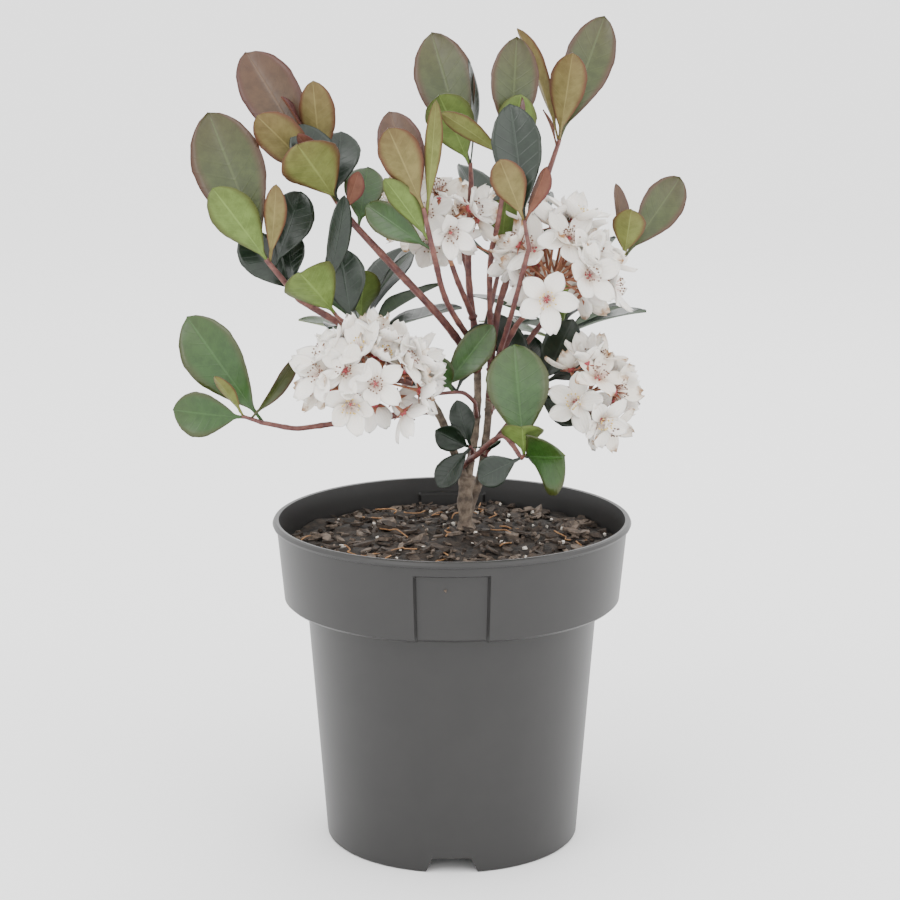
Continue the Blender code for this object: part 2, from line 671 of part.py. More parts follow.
def leaf_shape(root, axes, length, width, curl, fold, grow=0.0):
    """A thin curved blade with a raised outline: four points at each station, and a pointed tip."""
    ahead, across, upper = axes
    petiole = length * PETIOLE_SHARE
    bend = math.radians(curl) / length
    lift = math.radians(fold)
    verts = []
    stations = [(0.0, PETIOLE_HALF_WIDTH, 0.0)]
    for share in LEAF_STATIONS:
        half = max(PETIOLE_HALF_WIDTH, blade_half_width(share, width))
        stations.append((petiole + share * (length - petiole), half, lift))
    for distance, half, raised in stations:
        middle, out = bent(root, ahead, upper, distance, bend)
        half += grow
        thick = LEAF_THICKNESS / 2 + grow
        verts.append(middle - across * half * math.cos(raised) + out * half * math.sin(raised))
        verts.append(middle + out * thick)
        verts.append(middle + across * half * math.cos(raised) + out * half * math.sin(raised))
        verts.append(middle - out * thick)
    tip, _ = bent(root, ahead, upper, length + grow, bend)
    verts.append(tip)
    faces = [(0, 1, 2, 3)]
    for i in range(len(stations) - 1):
        for k in range(4):
            a = i * 4 + k
            b = i * 4 + (k + 1) % 4
            faces.append((a, b, b + 4, a + 4))
    last = (len(stations) - 1) * 4
    faces += [(last + k, last + (k + 1) % 4, len(verts) - 1) for k in range(4)]
    return verts, faces


def blade_half_width(share, width):
    """Half the blade's width at a share of its length, widest a little beyond its middle."""
    return width / 2 * max(0.0, math.sin(math.pi * share**LEAF_FRONT_HEAVY)) ** LEAF_FULLNESS


def bent(root, ahead, upper, distance, bend):
    """The point at a distance along an arc that bends away from the upper side, and the upper side's direction."""
    turn = bend * distance
    if abs(bend) < 1e-6:
        return root + ahead * distance, upper
    point = root + ahead * (math.sin(turn) / bend) - upper * ((1 - math.cos(turn)) / bend)
    return point, upper * math.cos(turn) + ahead * math.sin(turn)


def turned(axes, degrees):
    """A leaf's axes tipped toward its upper side."""
    ahead, across, upper = (axis.copy() for axis in axes)
    turn = Quaternion(across, math.radians(degrees))
    ahead.rotate(turn)
    upper.rotate(turn)
    return ahead, across, upper


def ruled_leaves(name, curve):
    """A whorl by rule: leaves that turn by the golden angle up the end of the shoot, opening outward."""
    rng = random.Random(f"{SEED} {name}")
    leaves = []
    for i in range(RULED_WHORLS[name]):
        turn = math.radians(i * WHORL_STEP)
        rise = math.radians(62 - 5.5 * i + rng.uniform(-6, 6))
        length = WHORL_REACH * rng.uniform(0.8, 1.15)
        ahead = Vector((math.cos(turn) * math.cos(rise), math.sin(turn) * math.cos(rise), math.sin(rise)))
        inward = Vector((-math.cos(turn) * math.sin(rise), -math.sin(turn) * math.sin(rise), math.cos(rise)))
        leaves.append((i * WHORL_SPACING, (ahead, ahead.cross(inward), inward), length, length * rng.uniform(0.42, 0.52)))
    return leaves


def designed_leaves(name):
    return [(leaf.down, leaf_axes(leaf.lean, leaf.toward, leaf.face), leaf.length, leaf.width)
            for leaf in SHOOTS[name].leaves]


def make_shoot(name, curves, crowd):
    shoot = SHOOTS[name]
    curve = shoot_curve(curves[shoot.bough], shoot.via, shoot.tip)
    radius = LIMBS[shoot.bough].thin
    shape = limb_tube(curve, radius, radius * 0.7, sides=5)
    stem = new_object(name, *shape)
    crowd.add(name, shape, None)
    total = sum((b - a).length for a, b in zip(curve, curve[1:]))
    rng = random.Random(f"{SEED} {name} set")
    wanted = designed_leaves(name) + (ruled_leaves(name, curve) if name in RULED_WHORLS else [])
    pieces = []
    for down, axes, length, width in wanted:
        root, _ = along(curve, max(0.0, 1 - (down + radius) / total))
        curl = LEAF_CURL * rng.uniform(0.3, 1.7)
        fold = LEAF_FOLD * rng.uniform(0.6, 1.4)
        for turn, size in LEAF_TRIES:
            tried = turned(axes, turn)
            roomy = leaf_shape(root, tried, length * size, width * size, curl, fold, grow=GAP)
            if not crowd.hit_by(name, roomy):
                break
        else:
            continue
        blade = leaf_shape(root, tried, length * size, width * size, curl, fold)
        crowd.add(name, blade, None)
        pieces.append(new_object("leaf", *blade, linked=False))
    return combine(name, stem, pieces, "UNION")


def dome_directions(truss, rng):
    """Directions spread evenly over the side of the dome that faces up and away from the stalk."""
    golden = math.pi * (3 - math.sqrt(5))
    directions = []
    for i in range(truss.flowers):
        height = 1 - (i + 0.5) / truss.flowers * 1.55
        ring = math.sqrt(max(0.0, 1 - height * height))
        turn = golden * i + rng.uniform(-0.25, 0.25)
        directions.append(Vector((ring * math.cos(turn), ring * math.sin(turn), height)))
    return directions


def flower_shape(centre, facing, cup, roll, size, grow=0.0):
    """One closed star: each petal's outline runs out from the eye and back, with a peak above and below the eye."""
    side = facing.orthogonal().normalized()
    side.rotate(Quaternion(facing, roll))
    other = facing.cross(side)
    length = PETAL_LENGTH * size
    width = PETAL_WIDTH * size
    rise = math.sin(cup)
    reach = math.cos(cup)
    verts = []
    for k in range(PETALS):
        turn = 2 * math.pi * k / PETALS
        spoke = side * math.cos(turn) + other * math.sin(turn)
        across = other * math.cos(turn) - side * math.sin(turn)
        for out, aside in PETAL_OUTLINE:
            point = centre + spoke * (out * length * reach + grow) + facing * (out * length * rise)
            verts.append(point + across * (aside * (width + 2 * grow)))
    count = len(verts)
    verts.append(centre + facing * (FLOWER_EYE_HEIGHT + grow))
    verts.append(centre - facing * (FLOWER_EYE_HEIGHT + grow))
    faces = [(k, (k + 1) % count, count) for k in range(count)]
    faces += [((k + 1) % count, k, count + 1) for k in range(count)]
    return verts, faces


def make_truss(name, curves, crowd):
    truss = TRUSSES[name]
    rng = random.Random(f"{SEED} {name}")
    stalk = curves[truss.stalk]
    centre = Vector(truss.centre)
    curve = shoot_curve(stalk, [], centre)
    radius = LIMBS[truss.stalk].thin
    shape = limb_tube(curve, radius, radius * 0.8, sides=5)
    stem = new_object(name, *shape)
    crowd.add(name, shape, None)
    pieces = []
    for direction in dome_directions(truss, rng):
        spread = Vector([d * s for d, s in zip(direction, truss.spread)])
        place = centre + spread * rng.uniform(0.82, 1.02)
        facing = Vector([d / s for d, s in zip(direction, truss.spread)]).normalized()
        facing = (facing + Vector((rng.uniform(-0.3, 0.3), rng.uniform(-0.3, 0.3), rng.uniform(-0.1, 0.4)))).normalized()
        cup = math.radians(rng.uniform(2, 40))
        roll = rng.uniform(0, 2 * math.pi)
        size = rng.uniform(0.85, 1.08)
        root, _ = along(curve, rng.uniform(0.55, 1.0))
        roomy = flower_shape(place, facing, cup, roll, size, grow=GAP)
        pedicel = tube([root, place], [PEDICEL_RADIUS * 1.2, PEDICEL_RADIUS], 3)
        if crowd.hit_by(name, roomy) or crowd.hit_by(name, pedicel):
            continue
        for piece in (flower_shape(place, facing, cup, roll, size), pedicel):
            crowd.add(name, piece, None)
            pieces.append(new_object("bloom", *piece, linked=False))
    return combine(name, stem, pieces, "UNION")


def main():
    for thing in list(bpy.data.objects):
        bpy.data.objects.remove(thing)
    make_pot()
    make_compost()
    crowd = Crowd()
    curves = make_limbs(crowd)
    for name in SHOOTS:
        make_shoot(name, curves, crowd)
    for name in TRUSSES:
        make_truss(name, curves, crowd)


main()
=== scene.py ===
"""The looks of a potted Indian hawthorn in bloom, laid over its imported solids.

Every shoot and truss grows by the same tables, rules and draws as the solids, and is carried finer here:
leaves with veins and toothed edges, whole flowers, furrowed bark, a smooth pot and a bed of bark compost.
Lengths in the tables are millimetres and angles are degrees.
"""

import json
import math
import random
from collections import namedtuple

import bmesh
import bpy
from mathutils import Matrix, Quaternion, Vector, noise
from mathutils.bvhtree import BVHTree

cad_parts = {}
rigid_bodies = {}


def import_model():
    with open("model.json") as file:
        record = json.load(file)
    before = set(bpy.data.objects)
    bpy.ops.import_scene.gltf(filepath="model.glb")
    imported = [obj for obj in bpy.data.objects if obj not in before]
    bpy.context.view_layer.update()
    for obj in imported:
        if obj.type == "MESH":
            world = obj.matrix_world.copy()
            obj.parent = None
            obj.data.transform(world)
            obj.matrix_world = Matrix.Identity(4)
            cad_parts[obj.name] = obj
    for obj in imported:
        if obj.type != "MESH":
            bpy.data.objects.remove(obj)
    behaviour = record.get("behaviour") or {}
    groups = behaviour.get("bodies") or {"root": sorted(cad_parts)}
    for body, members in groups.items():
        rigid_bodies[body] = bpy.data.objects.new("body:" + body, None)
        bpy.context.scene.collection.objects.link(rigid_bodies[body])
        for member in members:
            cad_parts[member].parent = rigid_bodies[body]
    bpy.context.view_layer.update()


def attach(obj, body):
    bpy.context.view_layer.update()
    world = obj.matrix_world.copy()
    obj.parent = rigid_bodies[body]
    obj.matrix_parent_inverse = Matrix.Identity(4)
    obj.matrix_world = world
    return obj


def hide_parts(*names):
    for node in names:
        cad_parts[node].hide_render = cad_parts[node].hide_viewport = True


MM = 0.001
GAP = 0.3
SEED = 11

# Pot
POT_HEIGHT = 128.2
RIM_RADIUS = 70.0
BEAD_HEIGHT = 2.9
BEAD_DEPTH = 1.6
WALL = 1.4
COLLAR_FOOT_RADIUS = 65.6
COLLAR_FOOT_HEIGHT = 95.9
COLLAR_CORNER = 1.1
BODY_TOP_RADIUS = 57.0
BASE_RADIUS = 49.8
BASE_CHAMFER = 0.6
FOOT_WIDTH = 3.0
FLOOR_UNDERSIDE = 4.2
FLOOR_THICKNESS = 1.6
HUB_RADIUS = 14.0
RECESS_HALF_WIDTH = 13.0
RECESS_DEPTH = 1.8
RECESS_TOP = 122.3
RECESS_SLOPE = 0.8
NOTCH_BOTTOM_WIDTH = 20.0
NOTCH_TOP_WIDTH = 14.6
NOTCH_HEIGHT = 6.2
DRAIN_HOLES = 8
DRAIN_RADIUS = 3.5
DRAIN_CIRCLE = 32.0

# Compost
COMPOST_EDGE = 117.0
COMPOST_CROWN = 120.0
COMPOST_RIPPLE = 0.9
FLAT_AROUND_TRUNK = 7.0

# Trunk
TRUNK_FOOT = (5.5, 12.0)
TRUNK_KNEE = (5.2, 12.0, 131.8)
TRUNK_TOP = (6.0, 12.0, 141.5)
TRUNK_RADIUS = 2.5
FLARE = 1.4
FLARE_HEIGHT = 2.2
KNEE_SWELL = 0.7
KNEE_HEIGHT = 11.0
KNEE_SPREAD = 3.0
FORK_SWELL = 0.9
FORK_SPREAD = 5.0

# Leaf: stations are fractions of the blade
LEAF_STATIONS = (0.0, 0.3, 0.62, 0.88)
PETIOLE_SHARE = 0.13
PETIOLE_HALF_WIDTH = 0.7
LEAF_THICKNESS = 0.75
LEAF_FULLNESS = 0.68
LEAF_FRONT_HEAVY = 1.32
LEAF_FOLD = 16.0
LEAF_CURL = 14.0
# Degrees of tipping and share of the size tried in turn, until a leaf clears its neighbours
LEAF_TRIES = (
    (0, 1.0), (7, 1.0), (-7, 1.0), (14, 1.0), (-14, 1.0), (21, 0.95), (-21, 0.95),
    (0, 0.85), (10, 0.85), (-10, 0.85), (26, 0.85), (-26, 0.85), (0, 0.72), (16, 0.72), (-16, 0.72),
)

# Flower
PETALS = 5
PETAL_LENGTH = 12.0
PETAL_WIDTH = 7.4
PETAL_OUTLINE = ((0.14, -0.24), (0.6, -0.5), (0.98, 0.0), (0.6, 0.5))
FLOWER_EYE_HEIGHT = 1.1
PEDICEL_RADIUS = 0.55

# A limb runs from a place along its parent, through the via points, to its end.
Limb = namedtuple("Limb", "parent at via end thick thin")
LIMBS = {
    "stem_left": Limb(
        "trunk", 0.86, [(-1.2, 8, 157), (-9, 1, 175), (-34, -5, 199)], (-56, -9, 214), 1.7, 1.3),
    "stem_middle": Limb(
        "trunk", 0.90, [(9.5, 15, 162), (9.8, 13, 190), (6.4, 10, 222)], (7.2, 2, 256), 1.7, 1.1),
    "stem_right": Limb(
        "trunk", 0.18, [(10.2, 16.5, 136), (13.8, 14, 160), (18, 11, 208)], (35, 9, 256), 1.6, 1.2),
    "bough_upper_left": Limb("stem_middle", 0.38, [(-3, 6, 204)], (-30, -2, 235), 1.6, 1.4),
    "bough_centre": Limb("stem_middle", 0.45, [(-2, -7, 214)], (-7, -21, 235), 1.2, 1.1),
    "bough_top_middle": Limb("stem_right", 0.48, [(14.5, 2, 225)], (17, -10, 243), 1.2, 1.0),
    "bough_front": Limb("stem_right", 0.42, [(22, -12, 208)], (28, -26, 235), 1.1, 0.9),
    "bough_right": Limb("stem_right", 0.36, [(36, 19, 202)], (60, 13, 221), 1.2, 1.0),
    "bough_front_low": Limb("stem_left", 0.07, [(10, -6, 154.5), (19, -22, 165)], (25, -34, 160.5), 1.2, 0.9),
    "bough_low_left": Limb(
        "stem_left", 0.34, [(-44, -13, 168), (-60, -20, 167.5)], (-70, -23, 170), 1.3, 0.9),
    "bough_inner_left": Limb("stem_left", 0.56, [(-28, -9, 197)], (-34, -12, 203), 1.1, 0.9),
    "bough_inner_middle": Limb("stem_middle", 0.22, [], (9, 3, 172), 1.1, 0.9),
    "bough_inner_right": Limb("stem_right", 0.20, [(22, 10, 163)], (29, 8, 172), 1.1, 0.9),
    "bough_inner_low": Limb("stem_middle", 0.07, [(8, 5, 152)], (8, 1, 154), 1.1, 0.9),
    "bough_back_left": Limb("stem_left", 0.40, [(-20, 22, 178)], (-32, 40, 190), 1.3, 0.9),
    "bough_back": Limb("stem_middle", 0.42, [(14, 34, 200)], (18, 48, 214), 1.3, 0.9),
    "bough_back_right": Limb("stem_right", 0.33, [(30, 34, 180)], (42, 52, 188), 1.3, 0.9),
    "truss_stalk_left": Limb("stem_left", 0.45, [(-18, -12, 184)], (-22, -19, 186), 1.2, 1.0),
    "truss_stalk_top": Limb("stem_middle", 0.56, [(2, 2, 221)], (0, 0, 227), 1.2, 1.0),
    "truss_stalk_right": Limb("stem_right", 0.45, [(26, 2, 205)], (30, -1, 209), 1.3, 1.0),
    "truss_stalk_low_right": Limb("stem_right", 0.38, [(32, -2, 178)], (42, -6, 180), 1.2, 1.0),
    "truss_stalk_back": Limb("stem_middle", 0.50, [(6, 24, 222)], (4, 30, 228), 1.2, 1.0),
}

# A leaf leaves its stem so many millimetres below the tip. It leans right of straight up as seen from the
# front, tips toward the front, and shows its upper side there at a face of 0 and its underside at 180.
# Each leaf is (down, lean, toward, face, length, width).
# A shoot runs on from its bough through its via points to its tip.
Shoot = namedtuple("Shoot", "bough via tip leaves")
SHOOTS = {
    "leaves_upper_left": Shoot("bough_upper_left", [(-40, -5, 247)], (-51, 5, 262), [
        (0, -31, -8, 8, 57, 23), (5, -42, 16, 176, 40, 17), (0, -16, -4, 84, 33, 10),
        (1, -3, 2, 172, 37, 15), (14, -30, 30, 178, 34, 23), (17, -26, 6, 20, 36, 17),
        (12, -24, 12, 150, 30, 10), (12, 4, -22, 0, 28, 17), (19, 22, 4, 150, 17, 8),
        (27, 8, -30, 0, 28, 16),
    ]),
    "leaves_left": Shoot("stem_left", [], (-70, -13, 231), [
        (0, -23, -14, 0, 62, 28), (2, -34, 12, 178, 38, 18), (1, 8, 6, 170, 32, 9),
        (4, 20, -20, 10, 34, 17), (17, -42, -6, 0, 32, 16), (15, -6, -24, 0, 26, 12),
    ]),
    "leaves_low_left": Shoot("bough_low_left", [(-73, -24, 171)], (-79, -26, 173.5), [
        (8, -37, -6, 0, 50, 23), (1, -84, 10, 0, 28, 18), (0, -26, 28, 160, 24, 6), (3, 42, 4, 40, 30, 8),
    ]),
    "leaves_inner_left": Shoot("bough_inner_left", [(-42, -13, 208)], (-49, -16, 217), [
        (0, 17, 4, 30, 40, 10), (8, -34, 30, 178, 28, 22), (16, -10, -6, 0, 30, 17),
    ]),
    "leaves_centre": Shoot("bough_centre", [], (-10.5, -28, 252), [
        (0, -22, 8, 178, 36, 16), (0, -20, -12, 0, 40, 17), (4, 6, 4, 172, 46, 7),
        (14, -32, 12, 160, 32, 11), (17, -58, -14, 0, 32, 13),
    ]),
    "leaves_top": Shoot("stem_middle", [], (7, 0, 266), [
        (0, -17, -12, 0, 54, 23), (1, -22, 12, 176, 34, 18), (0, 7, -4, 66, 40, 8),
    ]),
    "leaves_top_middle": Shoot("bough_top_middle", [(19, -12, 255)], (22, -12, 269), [
        (0, 3, -8, 0, 46, 19), (1, 9, 2, 176, 26, 15), (0, -52, 8, 168, 34, 8), (0, 16, 18, 60, 25, 5),
    ]),
    "leaves_front": Shoot("bough_front", [], (26.5, -31, 248), [
        (0, -21, 10, 176, 27, 13), (0, 24, -2, 130, 22, 9), (1, -7, -12, 8, 45, 19),
    ]),
    "leaves_top_right": Shoot("stem_right", [], (41, 8, 274), [
        (0, 21, -14, 0, 53, 19), (0, 8, 10, 176, 38, 14), (0, -13, -8, 120, 46, 11),
        (2, -12, 24, 110, 18, 4),
    ]),
    "leaves_right": Shoot("bough_right", [], (67, 10, 229), [
        (0, 37, -14, 0, 40, 17), (0, 6, 16, 176, 22, 13), (0, -4, 0, 40, 29, 8), (10, -24, -40, 0, 34, 20),
    ]),
    "leaves_front_low": Shoot("bough_front_low", [], (27, -39, 161.5), [
        (0, -5, -12, 0, 42, 25), (0, -4, 42, 176, 24, 16), (0, 84, 50, 20, 20, 28),
        (2, -118, -10, 20, 20, 12), (1, 104, -40, 0, 18, 10),
    ]),
    "leaves_inner_middle": Shoot("bough_inner_middle", [(4, -3, 178)], (-6, -6, 178), [
        (0, 39, 2, 0, 34, 14), (6, -30, 20, 0, 18, 11), (8, -48, 6, 0, 24, 12), (2, -70, 0, 0, 16, 9),
        (7, 24, -20, 0, 30, 12),
    ]),
    "leaves_inner_right": Shoot("bough_inner_right", [], (36, 8, 180), [
        (0, -40, -10, 0, 36, 13), (1, 24, 18, 0, 30, 15), (0, 64, -20, 0, 32, 15), (3, -20, -40, 0, 30, 15),
        (5, 116, 10, 0, 22, 13),
    ]),
    "leaves_inner_low": Shoot("bough_inner_low", [], (7, -4, 157), [
        (0, -136, 14, 30, 20, 11), (1, -60, 20, 0, 17, 11), (0, -16, 16, 0, 20, 10), (1, 84, 10, 70, 12, 7),
    ]),
    "leaves_back_left": Shoot("bough_back_left", [], (-38, 48, 198), []),
    "leaves_back": Shoot("bough_back", [], (20, 58, 224), []),
    "leaves_back_right": Shoot("bough_back_right", [], (46, 60, 196), []),
}
RULED_WHORLS = {"leaves_back_left": 10, "leaves_back": 6, "leaves_back_right": 10}
WHORL_STEP = 137.5
WHORL_SPACING = 1.0
WHORL_REACH = 38.0

# A truss is a dome of flowers on a branching stalk.
Truss = namedtuple("Truss", "stalk centre spread flowers")
TRUSSES = {
    "flowers_left": Truss("truss_stalk_left", (-32, -30, 188), (22, 13, 18), 17),
    "flowers_top": Truss("truss_stalk_top", (-7, -4, 246), (18, 11, 14), 12),
    "flowers_right": Truss("truss_stalk_right", (40, -8, 224), (21, 16, 22), 18),
    "flowers_low_right": Truss("truss_stalk_low_right", (53, -6, 176), (12, 13, 17), 12),
    "flowers_back": Truss("truss_stalk_back", (2, 40, 234), (20, 15, 15), 10),
}

# One letter a leaf, in the order of the shoot's table
LEAF_TINTS = {
    "leaves_upper_left": "rrmrodmdmg",
    "leaves_left": "ogrddd",
    "leaves_low_left": "ggoo",
    "leaves_inner_left": "dgd",
    "leaves_centre": "rrogg",
    "leaves_top": "ogd",
    "leaves_top_middle": "ogom",
    "leaves_front": "rmd",
    "leaves_top_right": "orrm",
    "leaves_right": "oord",
    "leaves_front_low": "gggdd",
    "leaves_inner_middle": "ggddd",
    "leaves_inner_right": "ddddd",
    "leaves_inner_low": "dddd",
}
RULED_TINTS = "ddgdddgddgdd"
# Upper side, underside and edge colours, and the upper side's roughness
TINTS = {
    "r": ("red", (0.060, 0.028, 0.008), (0.150, 0.122, 0.040), (0.060, 0.012, 0.008), 0.40),
    "o": ("olive", (0.034, 0.046, 0.006), (0.130, 0.145, 0.034), (0.060, 0.014, 0.008), 0.38),
    "g": ("green", (0.016, 0.055, 0.004), (0.110, 0.165, 0.034), (0.04, 0.04, 0.008), 0.36),
    "d": ("dark", (0.0035, 0.0115, 0.004), (0.022, 0.045, 0.014), (0.006, 0.013, 0.005), 0.28),
    "m": ("maroon", (0.065, 0.017, 0.013), (0.13, 0.05, 0.028), (0.06, 0.012, 0.012), 0.38),
}
BLADE_STATIONS = 22
BLADE_COLUMNS = 10
BLADE_THICKNESS = 0.32
TEETH = 17
TOOTH_DEPTH = 0.035
TOOTHED_FROM = 0.3
TOOTHED_TO = 0.98
RIPPLES = 9
RIPPLE_OFFSET = 1.3
RIPPLE_HEIGHT = 0.035
KEEL_CURVE = 1.25
EDGE_SPOT = (0.97, 0.5)
PETAL_ROWS = 8
PETAL_COLUMNS = 6
PETAL_NOTCH = 0.05
PETALS_SHED = 0.75
SEPAL_LENGTH = 4.6
SEPAL_WIDTH = 1.5
STAMENS = 15
ANTHER_SIZE = 0.42
FLOWER_STATES = ("worn", "full", "full", "fresh", "full", "worn", "full", "spent")
MORE_FLOWERS = 0.9
POT_COLUMNS = 168
CHIPS = 900
PERLITE = 60
FIBRES = 26
BED_RINGS = 60
BED_COLUMNS = 180
RECESS_HALF_ANGLE = 0.22
PALE_CHIPS = 0.3
FIBRE_RADIUS = 0.28

# Material name, dark tone, pale tone, pattern scale, roughness, relief in metres and slot of each plain piece
MOTTLED = {
    "sepals": ("sepal", (0.20, 0.055, 0.035), (0.32, 0.12, 0.06), 500.0, 0.6, 0.0002, "petal"),
    "throats": ("throat", (0.30, 0.035, 0.05), (0.42, 0.08, 0.08), 600.0, 0.5, 0.0002, "petal"),
    "filaments": ("filament", (0.62, 0.36, 0.34), (0.80, 0.66, 0.60), 500.0, 0.5, 0.0001, "petal"),
    "anthers_fresh": ("anther_fresh", (0.62, 0.42, 0.08), (0.75, 0.58, 0.16), 900.0, 0.7, 0.0001, "petal"),
    "anthers_dark": ("anther_dark", (0.10, 0.045, 0.03), (0.20, 0.10, 0.05), 900.0, 0.7, 0.0001, "petal"),
    "flower_stalks": ("flower_stalk", (0.22, 0.07, 0.04), (0.34, 0.16, 0.08), 400.0, 0.6, 0.0002, "petal"),
    "bark_old": ("bark_old", (0.075, 0.055, 0.042), (0.22, 0.17, 0.125), 320.0, 0.85, 0.0006, "bark"),
    "bark_young": (
        "bark_young", (0.075, 0.022, 0.022), (0.17, 0.065, 0.05), 260.0, 0.55, 0.0003, "young_bark"),
    "compost_bed": (
        "compost_bed", (0.006, 0.0045, 0.0035), (0.032, 0.022, 0.015), 300.0, 0.95, 0.0012, "compost"),
    "chips_dark": ("chip_dark", (0.014, 0.009, 0.006), (0.05, 0.033, 0.022), 500.0, 0.9, 0.0006, "compost"),
    "chips_pale": ("chip_pale", (0.06, 0.045, 0.035), (0.16, 0.12, 0.09), 500.0, 0.9, 0.0006, "compost"),
    "perlite": ("perlite", (0.42, 0.38, 0.33), (0.66, 0.62, 0.56), 700.0, 0.9, 0.0004, "compost"),
    "fibres": ("fibre", (0.20, 0.09, 0.03), (0.36, 0.19, 0.08), 500.0, 0.8, 0.0003, "compost"),
}
FLAT_SHADED = ("chips_dark", "chips_pale", "perlite")
PLASTIC_TONES = ((0.0115, 0.0108, 0.0103), (0.0135, 0.0127, 0.0121))

# Stage, in metres and watts
FLOOR_HALF_SIZE = 60
FLOOR_PALE = (0.90, 0.90, 0.90)
FLOOR_DIM = (0.87, 0.87, 0.87)
SURROUND_STRENGTH = 2.4
LAMPS = (
    ("key", (-0.7, -0.9, 1.3), 0.9, 8.0, (0, 0, 0.15)),
    ("fill", (0.9, -0.6, 0.8), 1.0, 3.5, (0, 0, 0.15)),
    ("back", (0.3, 1.0, 1.2), 0.8, 6.0, (0, 0, 0.2)),
)
CAMERA_PLACE = (0.0, -0.8992, 0.3520)
CAMERA_PITCH = 77.624
CAMERA_LENS = 94.78
CAMERA_SHIFT_X = -0.00217


def spline(points, steps):
    """Points along a smooth curve through the given ones."""
    points = [Vector(p) for p in points]
    if len(points) == 2:
        return [points[0].lerp(points[1], i / steps) for i in range(steps + 1)]
    ends = [points[0] * 2 - points[1], *points, points[-1] * 2 - points[-2]]
    lengths = [(b - a).length for a, b in zip(points, points[1:])]
    curve = [points[0]]
    for i, length in enumerate(lengths):
        a, b, c, d = ends[i : i + 4]
        count = max(1, round(steps * length / sum(lengths)))
        for k in range(1, count + 1):
            t = k / count
            squared = (a * 2 - b * 5 + c * 4 - d) * t**2
            cubed = (b * 3 - a - c * 3 + d) * t**3
            curve.append((b * 2 + (c - a) * t + squared + cubed) / 2)
    return curve


def along(curve, share):
    """The point at a share of the curve's length, and the curve's direction there."""
    lengths = [(b - a).length for a, b in zip(curve, curve[1:])]
    rest = share * sum(lengths)
    for a, b, length in zip(curve, curve[1:], lengths):
        if rest <= length or b is curve[-1]:
            return a.lerp(b, min(1.0, rest / length)), (b - a).normalized()
        rest -= length


def tube(curve, radii, sides):
    """Points and faces of a closed tube along a curve."""
    verts = []
    faces = []
    tangents = []
    for i, _ in enumerate(curve):
        before = curve[max(0, i - 1)]
        after = curve[min(len(curve) - 1, i + 1)]
        tangents.append((after - before).normalized())
    side = tangents[0].orthogonal().normalized()
    for point, tangent, radius in zip(curve, tangents, radii):
        side = (side - tangent * side.dot(tangent)).normalized()
        other = tangent.cross(side)
        for k in range(sides):
            angle = 2 * math.pi * k / sides
            verts.append(point + side * (radius * math.cos(angle)) + other * (radius * math.sin(angle)))
    for i in range(len(curve) - 1):
        for k in range(sides):
            a = i * sides + k
            b = i * sides + (k + 1) % sides
            faces.append((a, b, b + sides, a + sides))
    faces.append(tuple(reversed(range(sides))))
    faces.append(tuple(range(len(verts) - sides, len(verts))))
    return verts, faces


def recess_share(angle, edge, outer):
    """1 inside the recess's width, 0 outside it."""
    nearest = min(angle % math.pi, math.pi - angle % math.pi)
    return min(1.0, max(0.0, (outer - nearest) / (outer - edge)))


def collar_radius(height):
    """Outer radius of the collar's wall, which opens upward to the bead."""
    share = (height - COLLAR_FOOT_HEIGHT) / (POT_HEIGHT - BEAD_HEIGHT - COLLAR_FOOT_HEIGHT)
    return COLLAR_FOOT_RADIUS + share * (RIM_RADIUS - BEAD_DEPTH - COLLAR_FOOT_RADIUS)


def body_radius(height):
    """Outer radius of the body's wall below the collar."""
    return BASE_RADIUS + (BODY_TOP_RADIUS - BASE_RADIUS) * height / COLLAR_FOOT_HEIGHT


def pot_profile():
    """(radius, height, recessed) from the outside of the foot over the rim to the middle of the underside."""
    bead_foot = POT_HEIGHT - BEAD_HEIGHT
    corner = COLLAR_CORNER
    floor = FLOOR_UNDERSIDE + FLOOR_THICKNESS
    shoulder_inside = COLLAR_FOOT_HEIGHT + WALL
    return [
        (BASE_RADIUS - BASE_CHAMFER, 0.0, False),
        (BASE_RADIUS, BASE_CHAMFER, False),
        (BODY_TOP_RADIUS, COLLAR_FOOT_HEIGHT, False),
        (COLLAR_FOOT_RADIUS - corner, COLLAR_FOOT_HEIGHT, True),
        (collar_radius(COLLAR_FOOT_HEIGHT + corner), COLLAR_FOOT_HEIGHT + corner, True),
        (collar_radius(RECESS_TOP - RECESS_SLOPE), RECESS_TOP - RECESS_SLOPE, True),
        (collar_radius(RECESS_TOP), RECESS_TOP, False),
        (collar_radius(bead_foot), bead_foot, False),
        (RIM_RADIUS - 0.4, bead_foot + 0.5, False),
        (RIM_RADIUS, POT_HEIGHT - BEAD_HEIGHT / 2, False),
        (RIM_RADIUS - 0.5, POT_HEIGHT - 0.4, False),
        (RIM_RADIUS - 1.2, POT_HEIGHT, False),
        (RIM_RADIUS - 2.4, POT_HEIGHT - 0.2, False),
        (collar_radius(bead_foot) - WALL, bead_foot - 0.6, False),
        (collar_radius(RECESS_TOP) - WALL, RECESS_TOP, False),
        (collar_radius(RECESS_TOP - RECESS_SLOPE) - WALL, RECESS_TOP - RECESS_SLOPE, True),
        (collar_radius(shoulder_inside) - WALL, shoulder_inside + 0.6, True),
        (BODY_TOP_RADIUS - WALL, shoulder_inside - 0.6, False),
        (body_radius(floor) - WALL, floor, False),
        (0.0, floor, False),
        (0.0, 0.0, False),
        (HUB_RADIUS, 0.0, False),
        (HUB_RADIUS, FLOOR_UNDERSIDE, False),
        (BASE_RADIUS - FOOT_WIDTH, FLOOR_UNDERSIDE, False),
        (BASE_RADIUS - FOOT_WIDTH, 0.0, False),
    ]


